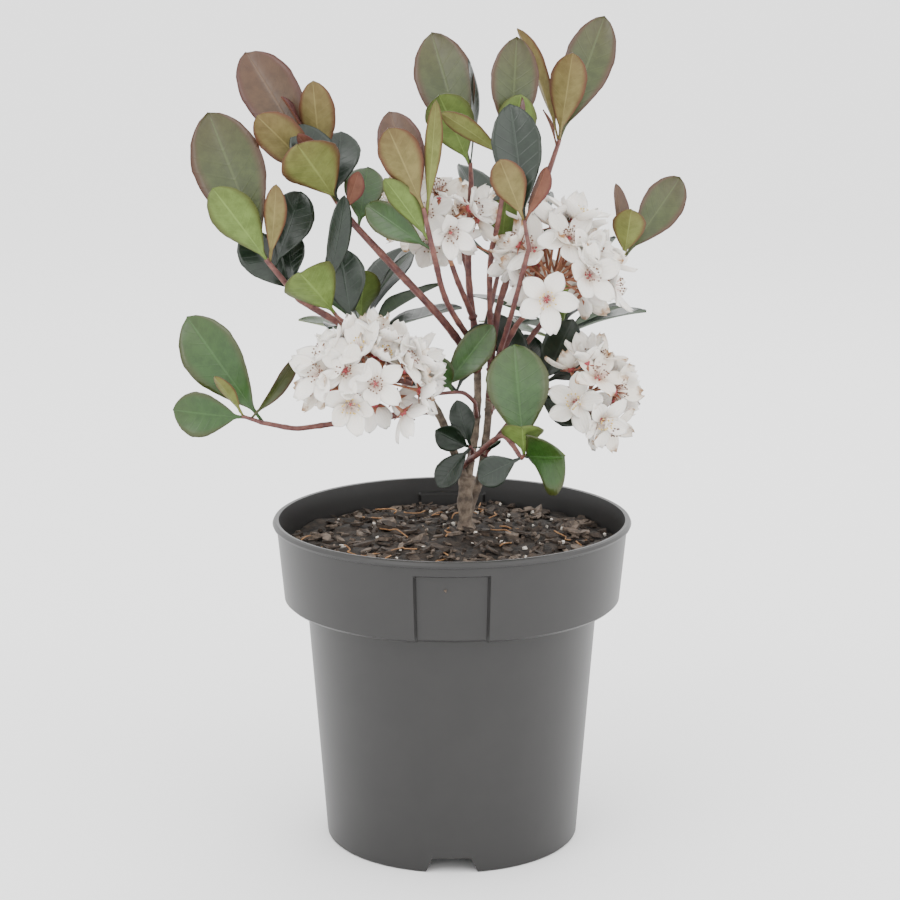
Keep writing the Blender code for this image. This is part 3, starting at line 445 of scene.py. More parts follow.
def foot_notches():
    """Trapezoid cutters through the foot at the front and back."""
    cutters = []
    bottom = NOTCH_BOTTOM_WIDTH / 2
    top = NOTCH_TOP_WIDTH / 2
    deep = BASE_RADIUS - FOOT_WIDTH * 1.5
    profile = [(-bottom, -1.0), (bottom, -1.0), (bottom, 0.0)]
    profile += [(top, NOTCH_HEIGHT), (-top, NOTCH_HEIGHT), (-bottom, 0.0)]
    for side in (-1, 1):
        near = [(x, side * deep, z) for x, z in profile]
        far = [(x, side * (BASE_RADIUS + 5), z) for x, z in profile]
        n = len(profile)
        faces = [tuple(range(n)), tuple(range(n, 2 * n))]
        faces += [(k, (k + 1) % n, (k + 1) % n + n, k + n) for k in range(n)]
        cutters.append(new_object("notch_cutter", near + far, faces, linked=False))
    return cutters


def drain_holes():
    """Octagonal cutters through the floor."""
    cutters = []
    for i in range(DRAIN_HOLES):
        angle = 2 * math.pi * (i + 0.5) / DRAIN_HOLES
        x, y = DRAIN_CIRCLE * math.cos(angle), DRAIN_CIRCLE * math.sin(angle)
        curve = [Vector((x, y, FLOOR_UNDERSIDE - 1)), Vector((x, y, FLOOR_UNDERSIDE + FLOOR_THICKNESS + 1))]
        cutters.append(new_object("drain_cutter", *tube(curve, [DRAIN_RADIUS] * 2, 8), linked=False))
    return cutters


def compost_height(x, y):
    """Height of the compost's lightly lumped crown, which is flat round the trunk."""
    radius = math.hypot(x, y)
    crown = COMPOST_CROWN - (COMPOST_CROWN - COMPOST_EDGE) * (radius / RIM_RADIUS) ** 2
    from_trunk = math.hypot(x - TRUNK_FOOT[0], y - TRUNK_FOOT[1])
    ease = min(1.0, max(0.0, (from_trunk - FLAT_AROUND_TRUNK) / FLAT_AROUND_TRUNK))
    lumps = math.sin(0.21 * x + 0.9) * math.cos(0.17 * y) + 0.6 * math.sin(0.11 * x - 0.33 * y)
    return COMPOST_CROWN + ease * (crown - COMPOST_CROWN + COMPOST_RIPPLE * lumps)


def trunk_curve():
    foot = (*TRUNK_FOOT, COMPOST_CROWN + GAP)
    return spline([foot, TRUNK_KNEE, TRUNK_TOP], 9)


def trunk_radius(height):
    flare = FLARE * math.exp(-height / FLARE_HEIGHT)
    knee = KNEE_SWELL * math.exp(-(((height - KNEE_HEIGHT) / KNEE_SPREAD) ** 2))
    top = TRUNK_TOP[2] - COMPOST_CROWN
    fork = FORK_SWELL * math.exp(-(((top - height) / FORK_SPREAD) ** 2))
    return TRUNK_RADIUS + flare + knee + fork


def trunk_tube():
    curve = trunk_curve()
    return tube(curve, [trunk_radius(p.z - curve[0].z) for p in curve], 10)


def limb_curve(name, curves):
    limb = LIMBS[name]
    start, _ = along(curves[limb.parent], limb.at)
    length = (Vector(limb.end) - start).length
    return spline([start, *limb.via, limb.end], max(3, round(length / 9)))


def limb_tube(curve, thick, thin, sides=6):
    last = len(curve) - 1
    return tube(curve, [thick + (thin - thick) * i / last for i in range(len(curve))], sides)


def tree_of(verts, faces):
    return BVHTree.FromPolygons([tuple(v) for v in verts], faces)


class Crowd:
    """The coarse shapes placed so far, which new ones keep clear of."""

    def __init__(self):
        self.pieces = []

    def add(self, node, shape):
        self.pieces.append((node, tree_of(*shape)))

    def hit_by(self, node, shape):
        """Whether the shape meets a piece of another node."""
        tree = tree_of(*shape)
        return any(other != node and placed.overlap(tree) for other, placed in self.pieces)


def shoot_curve(bough_curve, via, tip):
    """A stem that starts a gap beyond its bough's tip."""
    end = bough_curve[-1]
    heading = (end - bough_curve[-2]).normalized()
    start = end + heading * GAP
    length = (Vector(tip) - start).length
    return spline([start, start + heading * 2, *via, tip], max(3, round(length / 5)))


def leaf_axes(lean, toward, face):
    """Unit directions along a leaf, across it and out of its upper side."""
    lean, toward = math.radians(lean), math.radians(toward)
    ahead = Vector((math.sin(lean) * math.cos(toward), -math.sin(toward), math.cos(lean) * math.cos(toward)))
    front = Vector((0, -1, 0))
    if abs(ahead.y) > 0.97:
        front = Vector((0, 0, 1))
    upper = (front - ahead * front.dot(ahead)).normalized()
    upper.rotate(Quaternion(ahead, math.radians(face)))
    return ahead, ahead.cross(upper), upper


def leaf_shape(root, axes, length, width, curl, fold, grow=0.0):
    """A thin curved blade with a raised outline: four points at each station, and a pointed tip."""
    ahead, across, upper = axes
    petiole = length * PETIOLE_SHARE
    bend = math.radians(curl) / length
    lift = math.radians(fold)
    verts = []
    stations = [(0.0, PETIOLE_HALF_WIDTH, 0.0)]
    for share in LEAF_STATIONS:
        half = max(PETIOLE_HALF_WIDTH, blade_half_width(share, width))
        stations.append((petiole + share * (length - petiole), half, lift))
    for distance, half, raised in stations:
        middle, out = bent(root, ahead, upper, distance, bend)
        half += grow
        thick = LEAF_THICKNESS / 2 + grow
        verts.append(middle - across * half * math.cos(raised) + out * half * math.sin(raised))
        verts.append(middle + out * thick)
        verts.append(middle + across * half * math.cos(raised) + out * half * math.sin(raised))
        verts.append(middle - out * thick)
    tip, _ = bent(root, ahead, upper, length + grow, bend)
    verts.append(tip)
    faces = [(0, 1, 2, 3)]
    for i in range(len(stations) - 1):
        for k in range(4):
            a = i * 4 + k
            b = i * 4 + (k + 1) % 4
            faces.append((a, b, b + 4, a + 4))
    last = (len(stations) - 1) * 4
    faces += [(last + k, last + (k + 1) % 4, len(verts) - 1) for k in range(4)]
    return verts, faces


def blade_half_width(share, width):
    """Half the blade's width at a share of its length, widest a little beyond its middle."""
    return width / 2 * max(0.0, math.sin(math.pi * share**LEAF_FRONT_HEAVY)) ** LEAF_FULLNESS


def bent(root, ahead, upper, distance, bend):
    """A point along an arc that bends away from the upper side, and the upper side's direction there."""
    turn = bend * distance
    if abs(bend) < 1e-6:
        return root + ahead * distance, upper
    point = root + ahead * (math.sin(turn) / bend) - upper * ((1 - math.cos(turn)) / bend)
    return point, upper * math.cos(turn) + ahead * math.sin(turn)


def turned(axes, degrees):
    """A leaf's axes tipped toward its upper side."""
    ahead, across, upper = (axis.copy() for axis in axes)
    turn = Quaternion(across, math.radians(degrees))
    ahead.rotate(turn)
    upper.rotate(turn)
    return ahead, across, upper


def ruled_leaves(name):
    """A whorl by rule: leaves that turn by the golden angle up the end of the shoot, opening outward."""
    rng = random.Random(f"{SEED} {name}")
    leaves = []
    for i in range(RULED_WHORLS[name]):
        turn = math.radians(i * WHORL_STEP)
        rise = math.radians(62 - 5.5 * i + rng.uniform(-6, 6))
        length = WHORL_REACH * rng.uniform(0.8, 1.15)
        ahead = Vector((math.cos(turn) * math.cos(rise), math.sin(turn) * math.cos(rise), math.sin(rise)))
        inward = Vector((-math.cos(turn) * math.sin(rise), -math.sin(turn) * math.sin(rise), math.cos(rise)))
        axes = (ahead, ahead.cross(inward), inward)
        leaves.append((i * WHORL_SPACING, axes, length, length * rng.uniform(0.42, 0.52)))
    return leaves


def designed_leaves(name):
    leaves = []
    for down, lean, toward, face, length, width in SHOOTS[name].leaves:
        leaves.append((down, leaf_axes(lean, toward, face), length, width))
    return leaves


def dome_directions(truss, rng):
    """Directions spread evenly over the side of the dome that faces up and away from the stalk."""
    golden = math.pi * (3 - math.sqrt(5))
    directions = []
    for i in range(truss.flowers):
        height = 1 - (i + 0.5) / truss.flowers * 1.55
        ring = math.sqrt(max(0.0, 1 - height * height))
        turn = golden * i + rng.uniform(-0.25, 0.25)
        directions.append(Vector((ring * math.cos(turn), ring * math.sin(turn), height)))
    return directions


def flower_shape(centre, facing, cup, roll, size, grow=0.0):
    """A closed star: each petal's outline runs out from the eye and back, with a peak on either side."""
    side = facing.orthogonal().normalized()
    side.rotate(Quaternion(facing, roll))
    other = facing.cross(side)
    length = PETAL_LENGTH * size
    width = PETAL_WIDTH * size
    rise = math.sin(cup)
    reach = math.cos(cup)
    verts = []
    for k in range(PETALS):
        turn = 2 * math.pi * k / PETALS
        spoke = side * math.cos(turn) + other * math.sin(turn)
        across = other * math.cos(turn) - side * math.sin(turn)
        for out, aside in PETAL_OUTLINE:
            point = centre + spoke * (out * length * reach + grow) + facing * (out * length * rise)
            verts.append(point + across * (aside * (width + 2 * grow)))
    count = len(verts)
    verts.append(centre + facing * (FLOWER_EYE_HEIGHT + grow))
    verts.append(centre - facing * (FLOWER_EYE_HEIGHT + grow))
    faces = [(k, (k + 1) % count, count) for k in range(count)]
    faces += [((k + 1) % count, k, count + 1) for k in range(count)]
    return verts, faces


class Bag:
    """Points, faces, face materials and face corner coordinates of one piece in the making."""

    def __init__(self):
        self.verts = []
        self.faces = []
        self.kinds = []
        self.corners = []

    def add(self, verts, faces, kind=0, corners=None):
        base = len(self.verts)
        self.verts += verts
        corners = corners or [[(0.5, 0.5)] * len(face) for face in faces]
        self.cover([[base + v for v in face] for face in faces], kind, corners)

    def cover(self, faces, kind, corners):
        """Adds faces over points that the bag holds."""
        self.faces += faces
        self.kinds += [kind] * len(faces)
        self.corners += [spot for face in corners for spot in face]

    def piece(self, name, materials, slot, smooth=True):
        mesh = bpy.data.meshes.new(name)
        mesh.from_pydata([Vector(v) * MM for v in self.verts], [], self.faces)
        layer = mesh.uv_layers.new(name="UVMap")
        layer.data.foreach_set("uv", [value for pair in self.corners for value in pair])
        for material in materials:
            mesh.materials.append(material)
        mesh.polygons.foreach_set("material_index", self.kinds)
        mesh.polygons.foreach_set("use_smooth", [smooth] * len(self.faces))
        mesh.validate()
        thing = bpy.data.objects.new(name, mesh)
        bpy.context.scene.collection.objects.link(thing)
        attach(thing, "root")
        return thing


def new_object(name, verts, faces, linked=True):
    """A closed object from millimetre points and faces, for cutting or for the pot."""
    mesh = bpy.data.meshes.new(name)
    mesh.from_pydata([Vector(v) * MM for v in verts], [], faces)
    bm = bmesh.new()
    bm.from_mesh(mesh)
    bmesh.ops.recalc_face_normals(bm, faces=bm.faces)
    bm.to_mesh(mesh)
    bm.free()
    thing = bpy.data.objects.new(name, mesh)
    if linked:
        bpy.context.scene.collection.objects.link(thing)
    return thing


class Shader:
    """A principled material whose nodes are added one at a time."""

    def __init__(self, name, roughness):
        self.material = bpy.data.materials.new(name)
        self.material.use_nodes = True
        self.tree = self.material.node_tree
        self.main = self.tree.nodes["Principled BSDF"]
        self.main.inputs["Roughness"].default_value = roughness

    def node(self, kind, **inputs):
        made = self.tree.nodes.new(kind)
        for key, value in inputs.items():
            self.feed(made.inputs[key.replace("_", " ")], value)
        return made

    def feed(self, socket, value):
        if isinstance(value, bpy.types.NodeSocket):
            self.tree.links.new(value, socket)
        else:
            socket.default_value = value

    def maths(self, operation, a, b=0.0):
        made = self.tree.nodes.new("ShaderNodeMath")
        made.operation = operation
        self.feed(made.inputs[0], a)
        self.feed(made.inputs[1], b)
        return made.outputs[0]

    def ease(self, value, low, high):
        made = self.tree.nodes.new("ShaderNodeMapRange")
        made.interpolation_type = "SMOOTHSTEP"
        self.feed(made.inputs["Value"], value)
        made.inputs["From Min"].default_value = low
        made.inputs["From Max"].default_value = high
        return made.outputs["Result"]

    def mix(self, share, a, b):
        made = self.tree.nodes.new("ShaderNodeMix")
        made.data_type = "RGBA"
        self.feed(made.inputs[0], share)
        self.feed(made.inputs[6], (*a, 1.0) if isinstance(a, tuple) else a)
        self.feed(made.inputs[7], (*b, 1.0) if isinstance(b, tuple) else b)
        return made.outputs[2]

    def place(self):
        return self.node("ShaderNodeTexCoord").outputs["Object"]

    def noise(self, scale, detail=3.0, rough=0.6):
        inputs = {"Vector": self.place(), "Scale": scale, "Detail": detail, "Roughness": rough}
        return self.node("ShaderNodeTexNoise", **inputs).outputs["Fac"]

    def colour(self, value):
        self.feed(self.main.inputs["Base Color"], value)

    def bump(self, height, distance, strength=0.6):
        made = self.node("ShaderNodeBump", Strength=strength, Distance=distance, Height=height)
        self.tree.links.new(made.outputs["Normal"], self.main.inputs["Normal"])


def leaf_side(name, base, edge, roughness, under):
    """One side of a leaf: a pale midrib, slanting side veins, a tinted edge and soft mottling."""
    shader = Shader(name, roughness)
    spot = shader.node("ShaderNodeTexCoord").outputs["UV"]
    parts = shader.node("ShaderNodeSeparateXYZ", Vector=spot)
    across = shader.maths("ABSOLUTE", shader.maths("SUBTRACT", parts.outputs[0], 0.5))
    rows = shader.maths("SUBTRACT", parts.outputs[1], shader.maths("MULTIPLY", across, 0.32))
    wave = shader.maths("SINE", shader.maths("MULTIPLY", rows, 56.0))
    vein = shader.ease(wave, 0.86, 1.0)
    rib = shader.ease(shader.maths("MULTIPLY", across, -1.0), -0.03, -0.006)
    mottle = shader.noise(260.0, 4.0)
    darker = tuple(c * 0.84 for c in base)
    lighter = tuple(min(1.0, c * 1.18 + 0.004) for c in base)
    tone = shader.mix(shader.ease(mottle, 0.3, 0.7), darker, lighter)
    tone = shader.mix(shader.maths("MULTIPLY", vein, 0.35 if under else 0.22), tone, lighter)
    rim = shader.ease(shader.maths("ADD", across, shader.maths("MULTIPLY", mottle, 0.05)), 0.33, 0.53)
    tip = shader.maths("MULTIPLY", shader.ease(parts.outputs[1], 0.45, 1.05), 0.3)
    tone = shader.mix(shader.maths("MAXIMUM", shader.maths("MULTIPLY", rim, 0.85), tip), tone, edge)
    ribbed = tuple(min(1.0, c * 1.5 + 0.012) for c in base)
    tone = shader.mix(shader.maths("MULTIPLY", rib, 0.7), tone, ribbed)
    shader.colour(tone)
    relief = shader.maths("ADD", shader.maths("MULTIPLY", vein, 0.5), shader.maths("ADD", rib, mottle))
    shader.bump(relief, 0.0003, 0.35)
    shader.main.inputs["Specular IOR Level"].default_value = 0.3 if under else 0.5
    return shader.material


def mottled(name, dark, pale, scale, roughness, relief, strength=0.6):
    """A plain surface with two tones and a fine relief."""
    shader = Shader(name, roughness)
    shader.colour(shader.mix(shader.ease(shader.noise(scale, 5.0), 0.32, 0.68), dark, pale))
    shader.bump(shader.noise(scale * 3.1, 6.0, 0.7), relief, strength)
    return shader.material


def petal_material(name, base, centre, worn):
    """A petal, warmer at its claw, with a little brown at the tip when worn."""
    shader = Shader(name, 0.55)
    parts = shader.node("ShaderNodeSeparateXYZ", Vector=shader.node("ShaderNodeTexCoord").outputs["UV"])
    along_petal = parts.outputs[1]
    tone = shader.mix(shader.ease(along_petal, 0.0, 0.42), centre, base)
    tone = shader.mix(shader.maths("MULTIPLY", shader.noise(420.0), 0.16), tone, (0.62, 0.56, 0.48))
    if worn:
        scorch = shader.ease(shader.maths("ADD", along_petal, shader.noise(300.0)), 1.2, 1.6)
        tone = shader.mix(scorch, tone, (0.30, 0.15, 0.05))
    shader.colour(tone)
    shader.bump(shader.maths("SINE", shader.maths("MULTIPLY", parts.outputs[0], 40.0)), 0.0002, 0.25)
    shader.main.inputs["Subsurface Weight"].default_value = 0.12
    shader.main.inputs["Subsurface Radius"].default_value = (0.002, 0.0015, 0.001)
    return shader.material


def closed_sheet(rows, columns, count):
    """Faces of a thin sheet over rows of points: its two sides, and the rim that joins them."""
    row = columns + 1
    upper, under, rims = [], [], []
    for i in range(rows):
        for k in range(columns):
            a = i * row + k
            b, c, d = a + 1, a + 1 + row, a + row
            upper.append((b, c, d, a))
            under.append((a + count, d + count, c + count, b + count))
        for k in (0, columns):
            a = i * row + k
            d = a + row
            rims.append((a, a + count, d + count, d) if k else (a, d, d + count, a + count))
    last = rows * row
    for k in range(columns):
        rims.append((k, k + count, k + 1 + count, k + 1))
        rims.append((last + k, last + k + 1, last + k + 1 + count, last + k + count))
    return upper, under, rims


def blade(bag, root, axes, length, width, curl, fold, rng):
    """A leaf as a thin closed blade with a keel along its midrib and small teeth on its edge."""
    ahead, across, upper = axes
    petiole = length * PETIOLE_SHARE
    bend = math.radians(curl) / length
    lift = math.radians(fold)
    phase = rng.uniform(0, 6.28)
    stalk = PETIOLE_HALF_WIDTH
    stations = [(0.0, stalk * 0.8, 0.0), (petiole * 0.6, stalk * 0.75, 0.02)]
    for i in range(BLADE_STATIONS + 1):
        share = i / BLADE_STATIONS
        half = blade_half_width(share, width)
        if TOOTHED_FROM < share < TOOTHED_TO:
            half *= 1 + TOOTH_DEPTH * ((share * TEETH) % 1.0)
        distance = petiole + share * (length - petiole)
        stations.append((distance, max(half, stalk * (1 - share)), share))
    tops, unders, spots = [], [], []
    for distance, half, share in stations:
        middle, out = bent(root, ahead, upper, distance, bend)
        rise = lift if distance > petiole else 0.0
        for k in range(BLADE_COLUMNS + 1):
            u = 2 * k / BLADE_COLUMNS - 1
            far = abs(u)
            swing = math.sin(share * RIPPLES + phase + (RIPPLE_OFFSET if u > 0 else 0))
            raised = half * far**KEEL_CURVE * math.sin(rise) + RIPPLE_HEIGHT * width * swing * far * far
            point = middle + across * (half * u * math.cos(rise)) + out * raised
            thick = BLADE_THICKNESS * (0.35 + 1.3 * (1 - far) ** 4)
            tops.append(point + out * thick * 0.3)
            unders.append(point - out * thick * 0.7)
            spots.append((0.5 + u / 2, share))
    count = len(tops)
    upper_side, under_side, rims = closed_sheet(len(stations) - 1, BLADE_COLUMNS, count)
    base = len(bag.verts)
    bag.add(tops + unders, upper_side, 0, [[spots[v] for v in face] for face in upper_side])
    spotted = [[spots[v - count] for v in face] for face in under_side]
    bag.cover([[base + v for v in face] for face in under_side], 1, spotted)
    bag.cover([[base + v for v in face] for face in rims], 0, [[EDGE_SPOT] * 4] * len(rims))


def petal(bag, eye, spoke, across, facing, length, width, cup, rng):
    """One petal: a narrow claw that opens to a rounded, slightly notched and cupped blade."""
    curl = rng.uniform(-0.5, 0.9)
    twist = rng.uniform(-0.25, 0.25)
    tops, spots = [], []
    for i in range(PETAL_ROWS + 1):
        s = i / PETAL_ROWS
        half = width / 2 * max(0.10, math.sin(math.pi * min(1.0, s**1.15)) ** 0.62)
        notch = 0.0
        if i == PETAL_ROWS:
            half = width * 0.14
            notch = PETAL_NOTCH
        pitch = cup + curl * (s - 0.4) * 0.6
        ahead = spoke * math.cos(pitch) + facing * math.sin(pitch)
        out = facing * math.cos(pitch) - spoke * math.sin(pitch)
        for k in range(PETAL_COLUMNS + 1):
            u = 2 * k / PETAL_COLUMNS - 1
            reach = length * (s - notch * (1 - abs(u)))
            lift = width * (0.16 * u * u + 0.10 * twist * u * s) + rng.uniform(-0.06, 0.06)
            tops.append(eye + ahead * reach + across * (half * u) + out * lift)
            spots.append((0.5 + u / 2, s))
    count = len(tops)
    upper_side, under_side, rims = closed_sheet(PETAL_ROWS, PETAL_COLUMNS, count)
    faces = [face[::-1] for face in upper_side + under_side + rims]
    verts = [t + facing * 0.1 for t in tops] + [t - facing * 0.12 for t in tops]
    bag.add(verts, faces, 0, [[spots[v % count] for v in face] for face in faces])


def dart(bag, start, heading, length, wide, side):
    """A narrow pointed sepal or a bract."""
    over = side.cross(heading).normalized()
    points = [start - side * wide * 0.4, start + side * wide * 0.4]
    widest = start + heading * length * 0.4
    points += [widest + side * wide * 0.5, widest - side * wide * 0.5, start + heading * length]
    top = [p + over * 0.14 for p in points]
    low = [p - over * 0.14 for p in points]
    faces = [(1, 2, 3, 0), (3, 2, 4), (5, 8, 7, 6), (9, 7, 8)]
    ring = [0, 1, 2, 4, 3]
    for a, b in zip(ring, ring[1:] + ring[:1]):
        faces.append((a, a + 5, b + 5, b))
    bag.add(top + low, faces)


def bead(bag, centre, size):
    """A small eight-sided anther."""
    x, y, z = Vector((size, 0, 0)), Vector((0, size, 0)), Vector((0, 0, size))
    verts = [centre + x, centre - x, centre + y, centre - y, centre + z, centre - z]
    faces = [(0, 2, 4), (2, 1, 4), (1, 3, 4), (3, 0, 4), (2, 0, 5), (1, 2, 5), (3, 1, 5), (0, 3, 5)]
    bag.add(verts, faces)


def flower(bags, eye, facing, cup, roll, size, root, rng, state):
    """A flower on its stalk: five petals, five sepals behind them, a red throat and a tuft of stamens."""
    side = facing.orthogonal().normalized()
    side.rotate(Quaternion(facing, roll))
    other = facing.cross(side)
    length = PETAL_LENGTH * size * rng.uniform(0.98, 1.1)
    width = PETAL_WIDTH * size * 1.08
    lean = rng.uniform(-0.12, 0.12)
    bend = root.lerp(eye, 0.55) - facing * 1.4
    stalk = spline([root, bend, eye - facing * 1.8, eye], 6)
    bags["flower_stalks"].add(*tube(stalk, [0.5] * (len(stalk) - 2) + [0.75, 1.25], 6))
    petals = bags["petals_worn" if state in ("worn", "spent") else "petals"]
    for k in range(PETALS):
        turn = 2 * math.pi * k / PETALS
        spoke = side * math.cos(turn) + other * math.sin(turn)
        across = other * math.cos(turn) - side * math.sin(turn)
        between = turn + math.pi / PETALS
        arm = side * math.cos(between) + other * math.sin(between)
        heading = (arm * 0.9 + facing * rng.uniform(-0.3, 0.5)).normalized()
        start = eye + arm * 0.7 - facing * 0.5
        dart(bags["sepals"], start, heading, SEPAL_LENGTH * size, SEPAL_WIDTH, facing.cross(arm))
        if state == "spent" and rng.random() < PETALS_SHED:
            continue
        tilt = cup + (rng.uniform(-0.10, 0.22) + lean)
        reach = length * rng.uniform(0.94, 1.05)
        petal(petals, eye + spoke * 0.6, spoke, across, facing, reach, width, tilt, rng)
    throat = [eye - facing * 0.9, eye + facing * 0.5, eye + facing * 1.1]
    bags["throats"].add(*tube(throat, [1.5, 1.7, 0.7], 8))
    filaments = bags["sepals" if state == "spent" else "filaments"]
    anthers = bags["anthers_fresh" if state == "fresh" else "anthers_dark"]
    for i in range(STAMENS):
        turn = 2 * math.pi * (i + rng.uniform(-0.3, 0.3)) / STAMENS
        spoke = side * math.cos(turn) + other * math.sin(turn)
        heading = (facing + spoke * rng.uniform(0.25, 0.75)).normalized()
        foot = eye + spoke * 0.8 + facing * 0.4
        head = foot + heading * rng.uniform(3.6, 5.4) * size
        curve = [foot, foot.lerp(head, 0.5) + facing * 0.35, head]
        filaments.add(*tube(curve, [0.16, 0.13, 0.10], 3))
        bead(anthers, head, ANTHER_SIZE)


def grow_limbs():
    """The curves of the limbs, and the crowd of their coarse shapes."""
    crowd = Crowd()
    curves = {"trunk": trunk_curve()}
    crowd.add("trunk", trunk_tube())
    for name, limb in LIMBS.items():
        curves[name] = limb_curve(name, curves)
        crowd.add(name, limb_tube(curves[name], limb.thick, limb.thin))
    return curves, crowd


def fine_curve(curve, step):
    """The curve rounded between its points and cut into short steps."""
    length = sum((b - a).length for a, b in zip(curve, curve[1:]))
    return spline(curve, max(len(curve) * 3, round(length / step)))


def barked(bag, curve, radii, sides, relief, grain):
    """A tube whose surface is furrowed along its length."""
    verts, faces = tube(curve, radii, sides)
    rings = len(curve)
    for i in range(rings):
        for k in range(sides):
            at = i * sides + k
            point = verts[at]
            out = (point - curve[i]).normalized()
            sample = Vector((point.x * grain, point.y * grain, point.z * grain * 0.28))
            furrow = noise.noise(sample) + 0.5 * noise.noise(sample * 2.7)
            verts[at] = point + out * (furrow * relief)
    corners = []
    for face in faces:
        corners.append([((v % sides) / sides, v // sides / rings) for v in face])
    bag.add(verts, faces, 0, corners)


def dress_limbs(curves, bags):
    trunk = fine_curve(curves["trunk"], 0.5)
    foot = trunk[0].z
    radii = [trunk_radius(p.z - foot) for p in trunk]
    barked(bags["bark_old"], trunk, radii, 28, 0.42, 0.9)
    for name, limb in LIMBS.items():
        curve = fine_curve(curves[name], 1.0)
        last = len(curve) - 1
        radii = []
        for i in range(len(curve)):
            share = i / last
            node = 0.14 * max(0.0, math.sin(i * 0.42)) ** 8
            collar = 0.8 * math.exp(-share * 40)
            radii.append(limb.thick + (limb.thin - limb.thick) * share + node + collar)
        if name.startswith("stem"):
            split = round(last * 0.42)
            barked(bags["bark_old"], curve[: split + 2], radii[: split + 2], 16, 0.17, 1.1)
            barked(bags["bark_young"], curve[split:], radii[split:], 14, 0.07, 1.4)
        else:
            barked(bags["bark_young"], curve, radii, 12, 0.06, 1.4)


def dress_shoot(name, curves, crowd, bags):
    """Grows a shoot by the source's rule and draws, and hangs a fine blade for each coarse one."""
    shoot = SHOOTS[name]
    curve = shoot_curve(curves[shoot.bough], shoot.via, shoot.tip)
    radius = LIMBS[shoot.bough].thin
    crowd.add(name, limb_tube(curve, radius, radius * 0.7, sides=5))
    fine = fine_curve([curves[shoot.bough][-1]] + curve, 1.0)
    last = len(fine) - 1
    radii = [radius * (1 - 0.3 * i / last) for i in range(len(fine))]
    barked(bags["bark_young"], fine, radii, 10, 0.05, 1.5)
    total = sum((b - a).length for a, b in zip(curve, curve[1:]))
    rng = random.Random(f"{SEED} {name} set")
    look = random.Random(f"{SEED} {name} look")
    wanted = designed_leaves(name) + (ruled_leaves(name) if name in RULED_WHORLS else [])
    for (down, axes, length, width), letter in zip(wanted, LEAF_TINTS.get(name, RULED_TINTS)):
        root, _ = along(curve, max(0.0, 1 - (down + radius) / total))
        curl = LEAF_CURL * rng.uniform(0.3, 1.7)
        fold = LEAF_FOLD * rng.uniform(0.6, 1.4)
        for turn, size in LEAF_TRIES:
            tried = turned(axes, turn)
            form = (root, tried, length * size, width * size, curl, fold)
            if not crowd.hit_by(name, leaf_shape(*form, grow=GAP)):
                crowd.add(name, leaf_shape(*form))
                blade(bags["leaves_" + TINTS[letter][0]], *form, look)
                break


def stray(rng, aside, low, high):
    return Vector((rng.uniform(-aside, aside), rng.uniform(-aside, aside), rng.uniform(low, high)))


def dress_truss(name, curves, crowd, bags):
    """Grows a truss by the source's rule and draws, and fills it with more flowers inside the same dome."""
    truss = TRUSSES[name]
    rng = random.Random(f"{SEED} {name}")
    look = random.Random(f"{SEED} {name} look")
    stalk = curves[truss.stalk]
    centre = Vector(truss.centre)
    curve = shoot_curve(stalk, [], centre)
    radius = LIMBS[truss.stalk].thin
    crowd.add(name, limb_tube(curve, radius, radius * 0.8, sides=5))
    fine = fine_curve([stalk[-1]] + curve, 1.2)
    bags["flower_stalks"].add(*tube(fine, [radius * 0.9] * len(fine), 8))
    for direction in dome_directions(truss, rng):
        spread = Vector([d * s for d, s in zip(direction, truss.spread)])
        place = centre + spread * rng.uniform(0.82, 1.02)
        facing = Vector([d / s for d, s in zip(direction, truss.spread)]).normalized()
        facing = (facing + stray(rng, 0.3, -0.1, 0.4)).normalized()
        cup = math.radians(rng.uniform(2, 40))
        form = (place, facing, cup, rng.uniform(0, 2 * math.pi), rng.uniform(0.85, 1.08))
        root, _ = along(curve, rng.uniform(0.55, 1.0))
        pedicel = tube([root, place], [PEDICEL_RADIUS * 1.2, PEDICEL_RADIUS], 3)
        if crowd.hit_by(name, flower_shape(*form, grow=GAP)) or crowd.hit_by(name, pedicel):
            continue
        crowd.add(name, flower_shape(*form))
        crowd.add(name, pedicel)
        flower(bags, *form, root, look, look.choice(FLOWER_STATES))
    for _ in range(round(truss.flowers * MORE_FLOWERS)):
        direction = Vector((look.gauss(0, 1), look.gauss(0, 1), look.gauss(0.35, 1))).normalized()
        spread = Vector([d * s for d, s in zip(direction, truss.spread)])
        place = centre + spread * look.uniform(0.62, 0.98)
        facing = (direction + stray(look, 0.4, -0.1, 0.4)).normalized()
        root, _ = along(curve, look.uniform(0.45, 1.0))
        cup = math.radians(look.uniform(5, 50))
        form = (place, facing, cup, look.uniform(0, 6.28), look.uniform(0.8, 1.0))
        if not crowd.hit_by(name, flower_shape(*form, grow=GAP)):
            flower(bags, *form, root, look, look.choice(FLOWER_STATES))


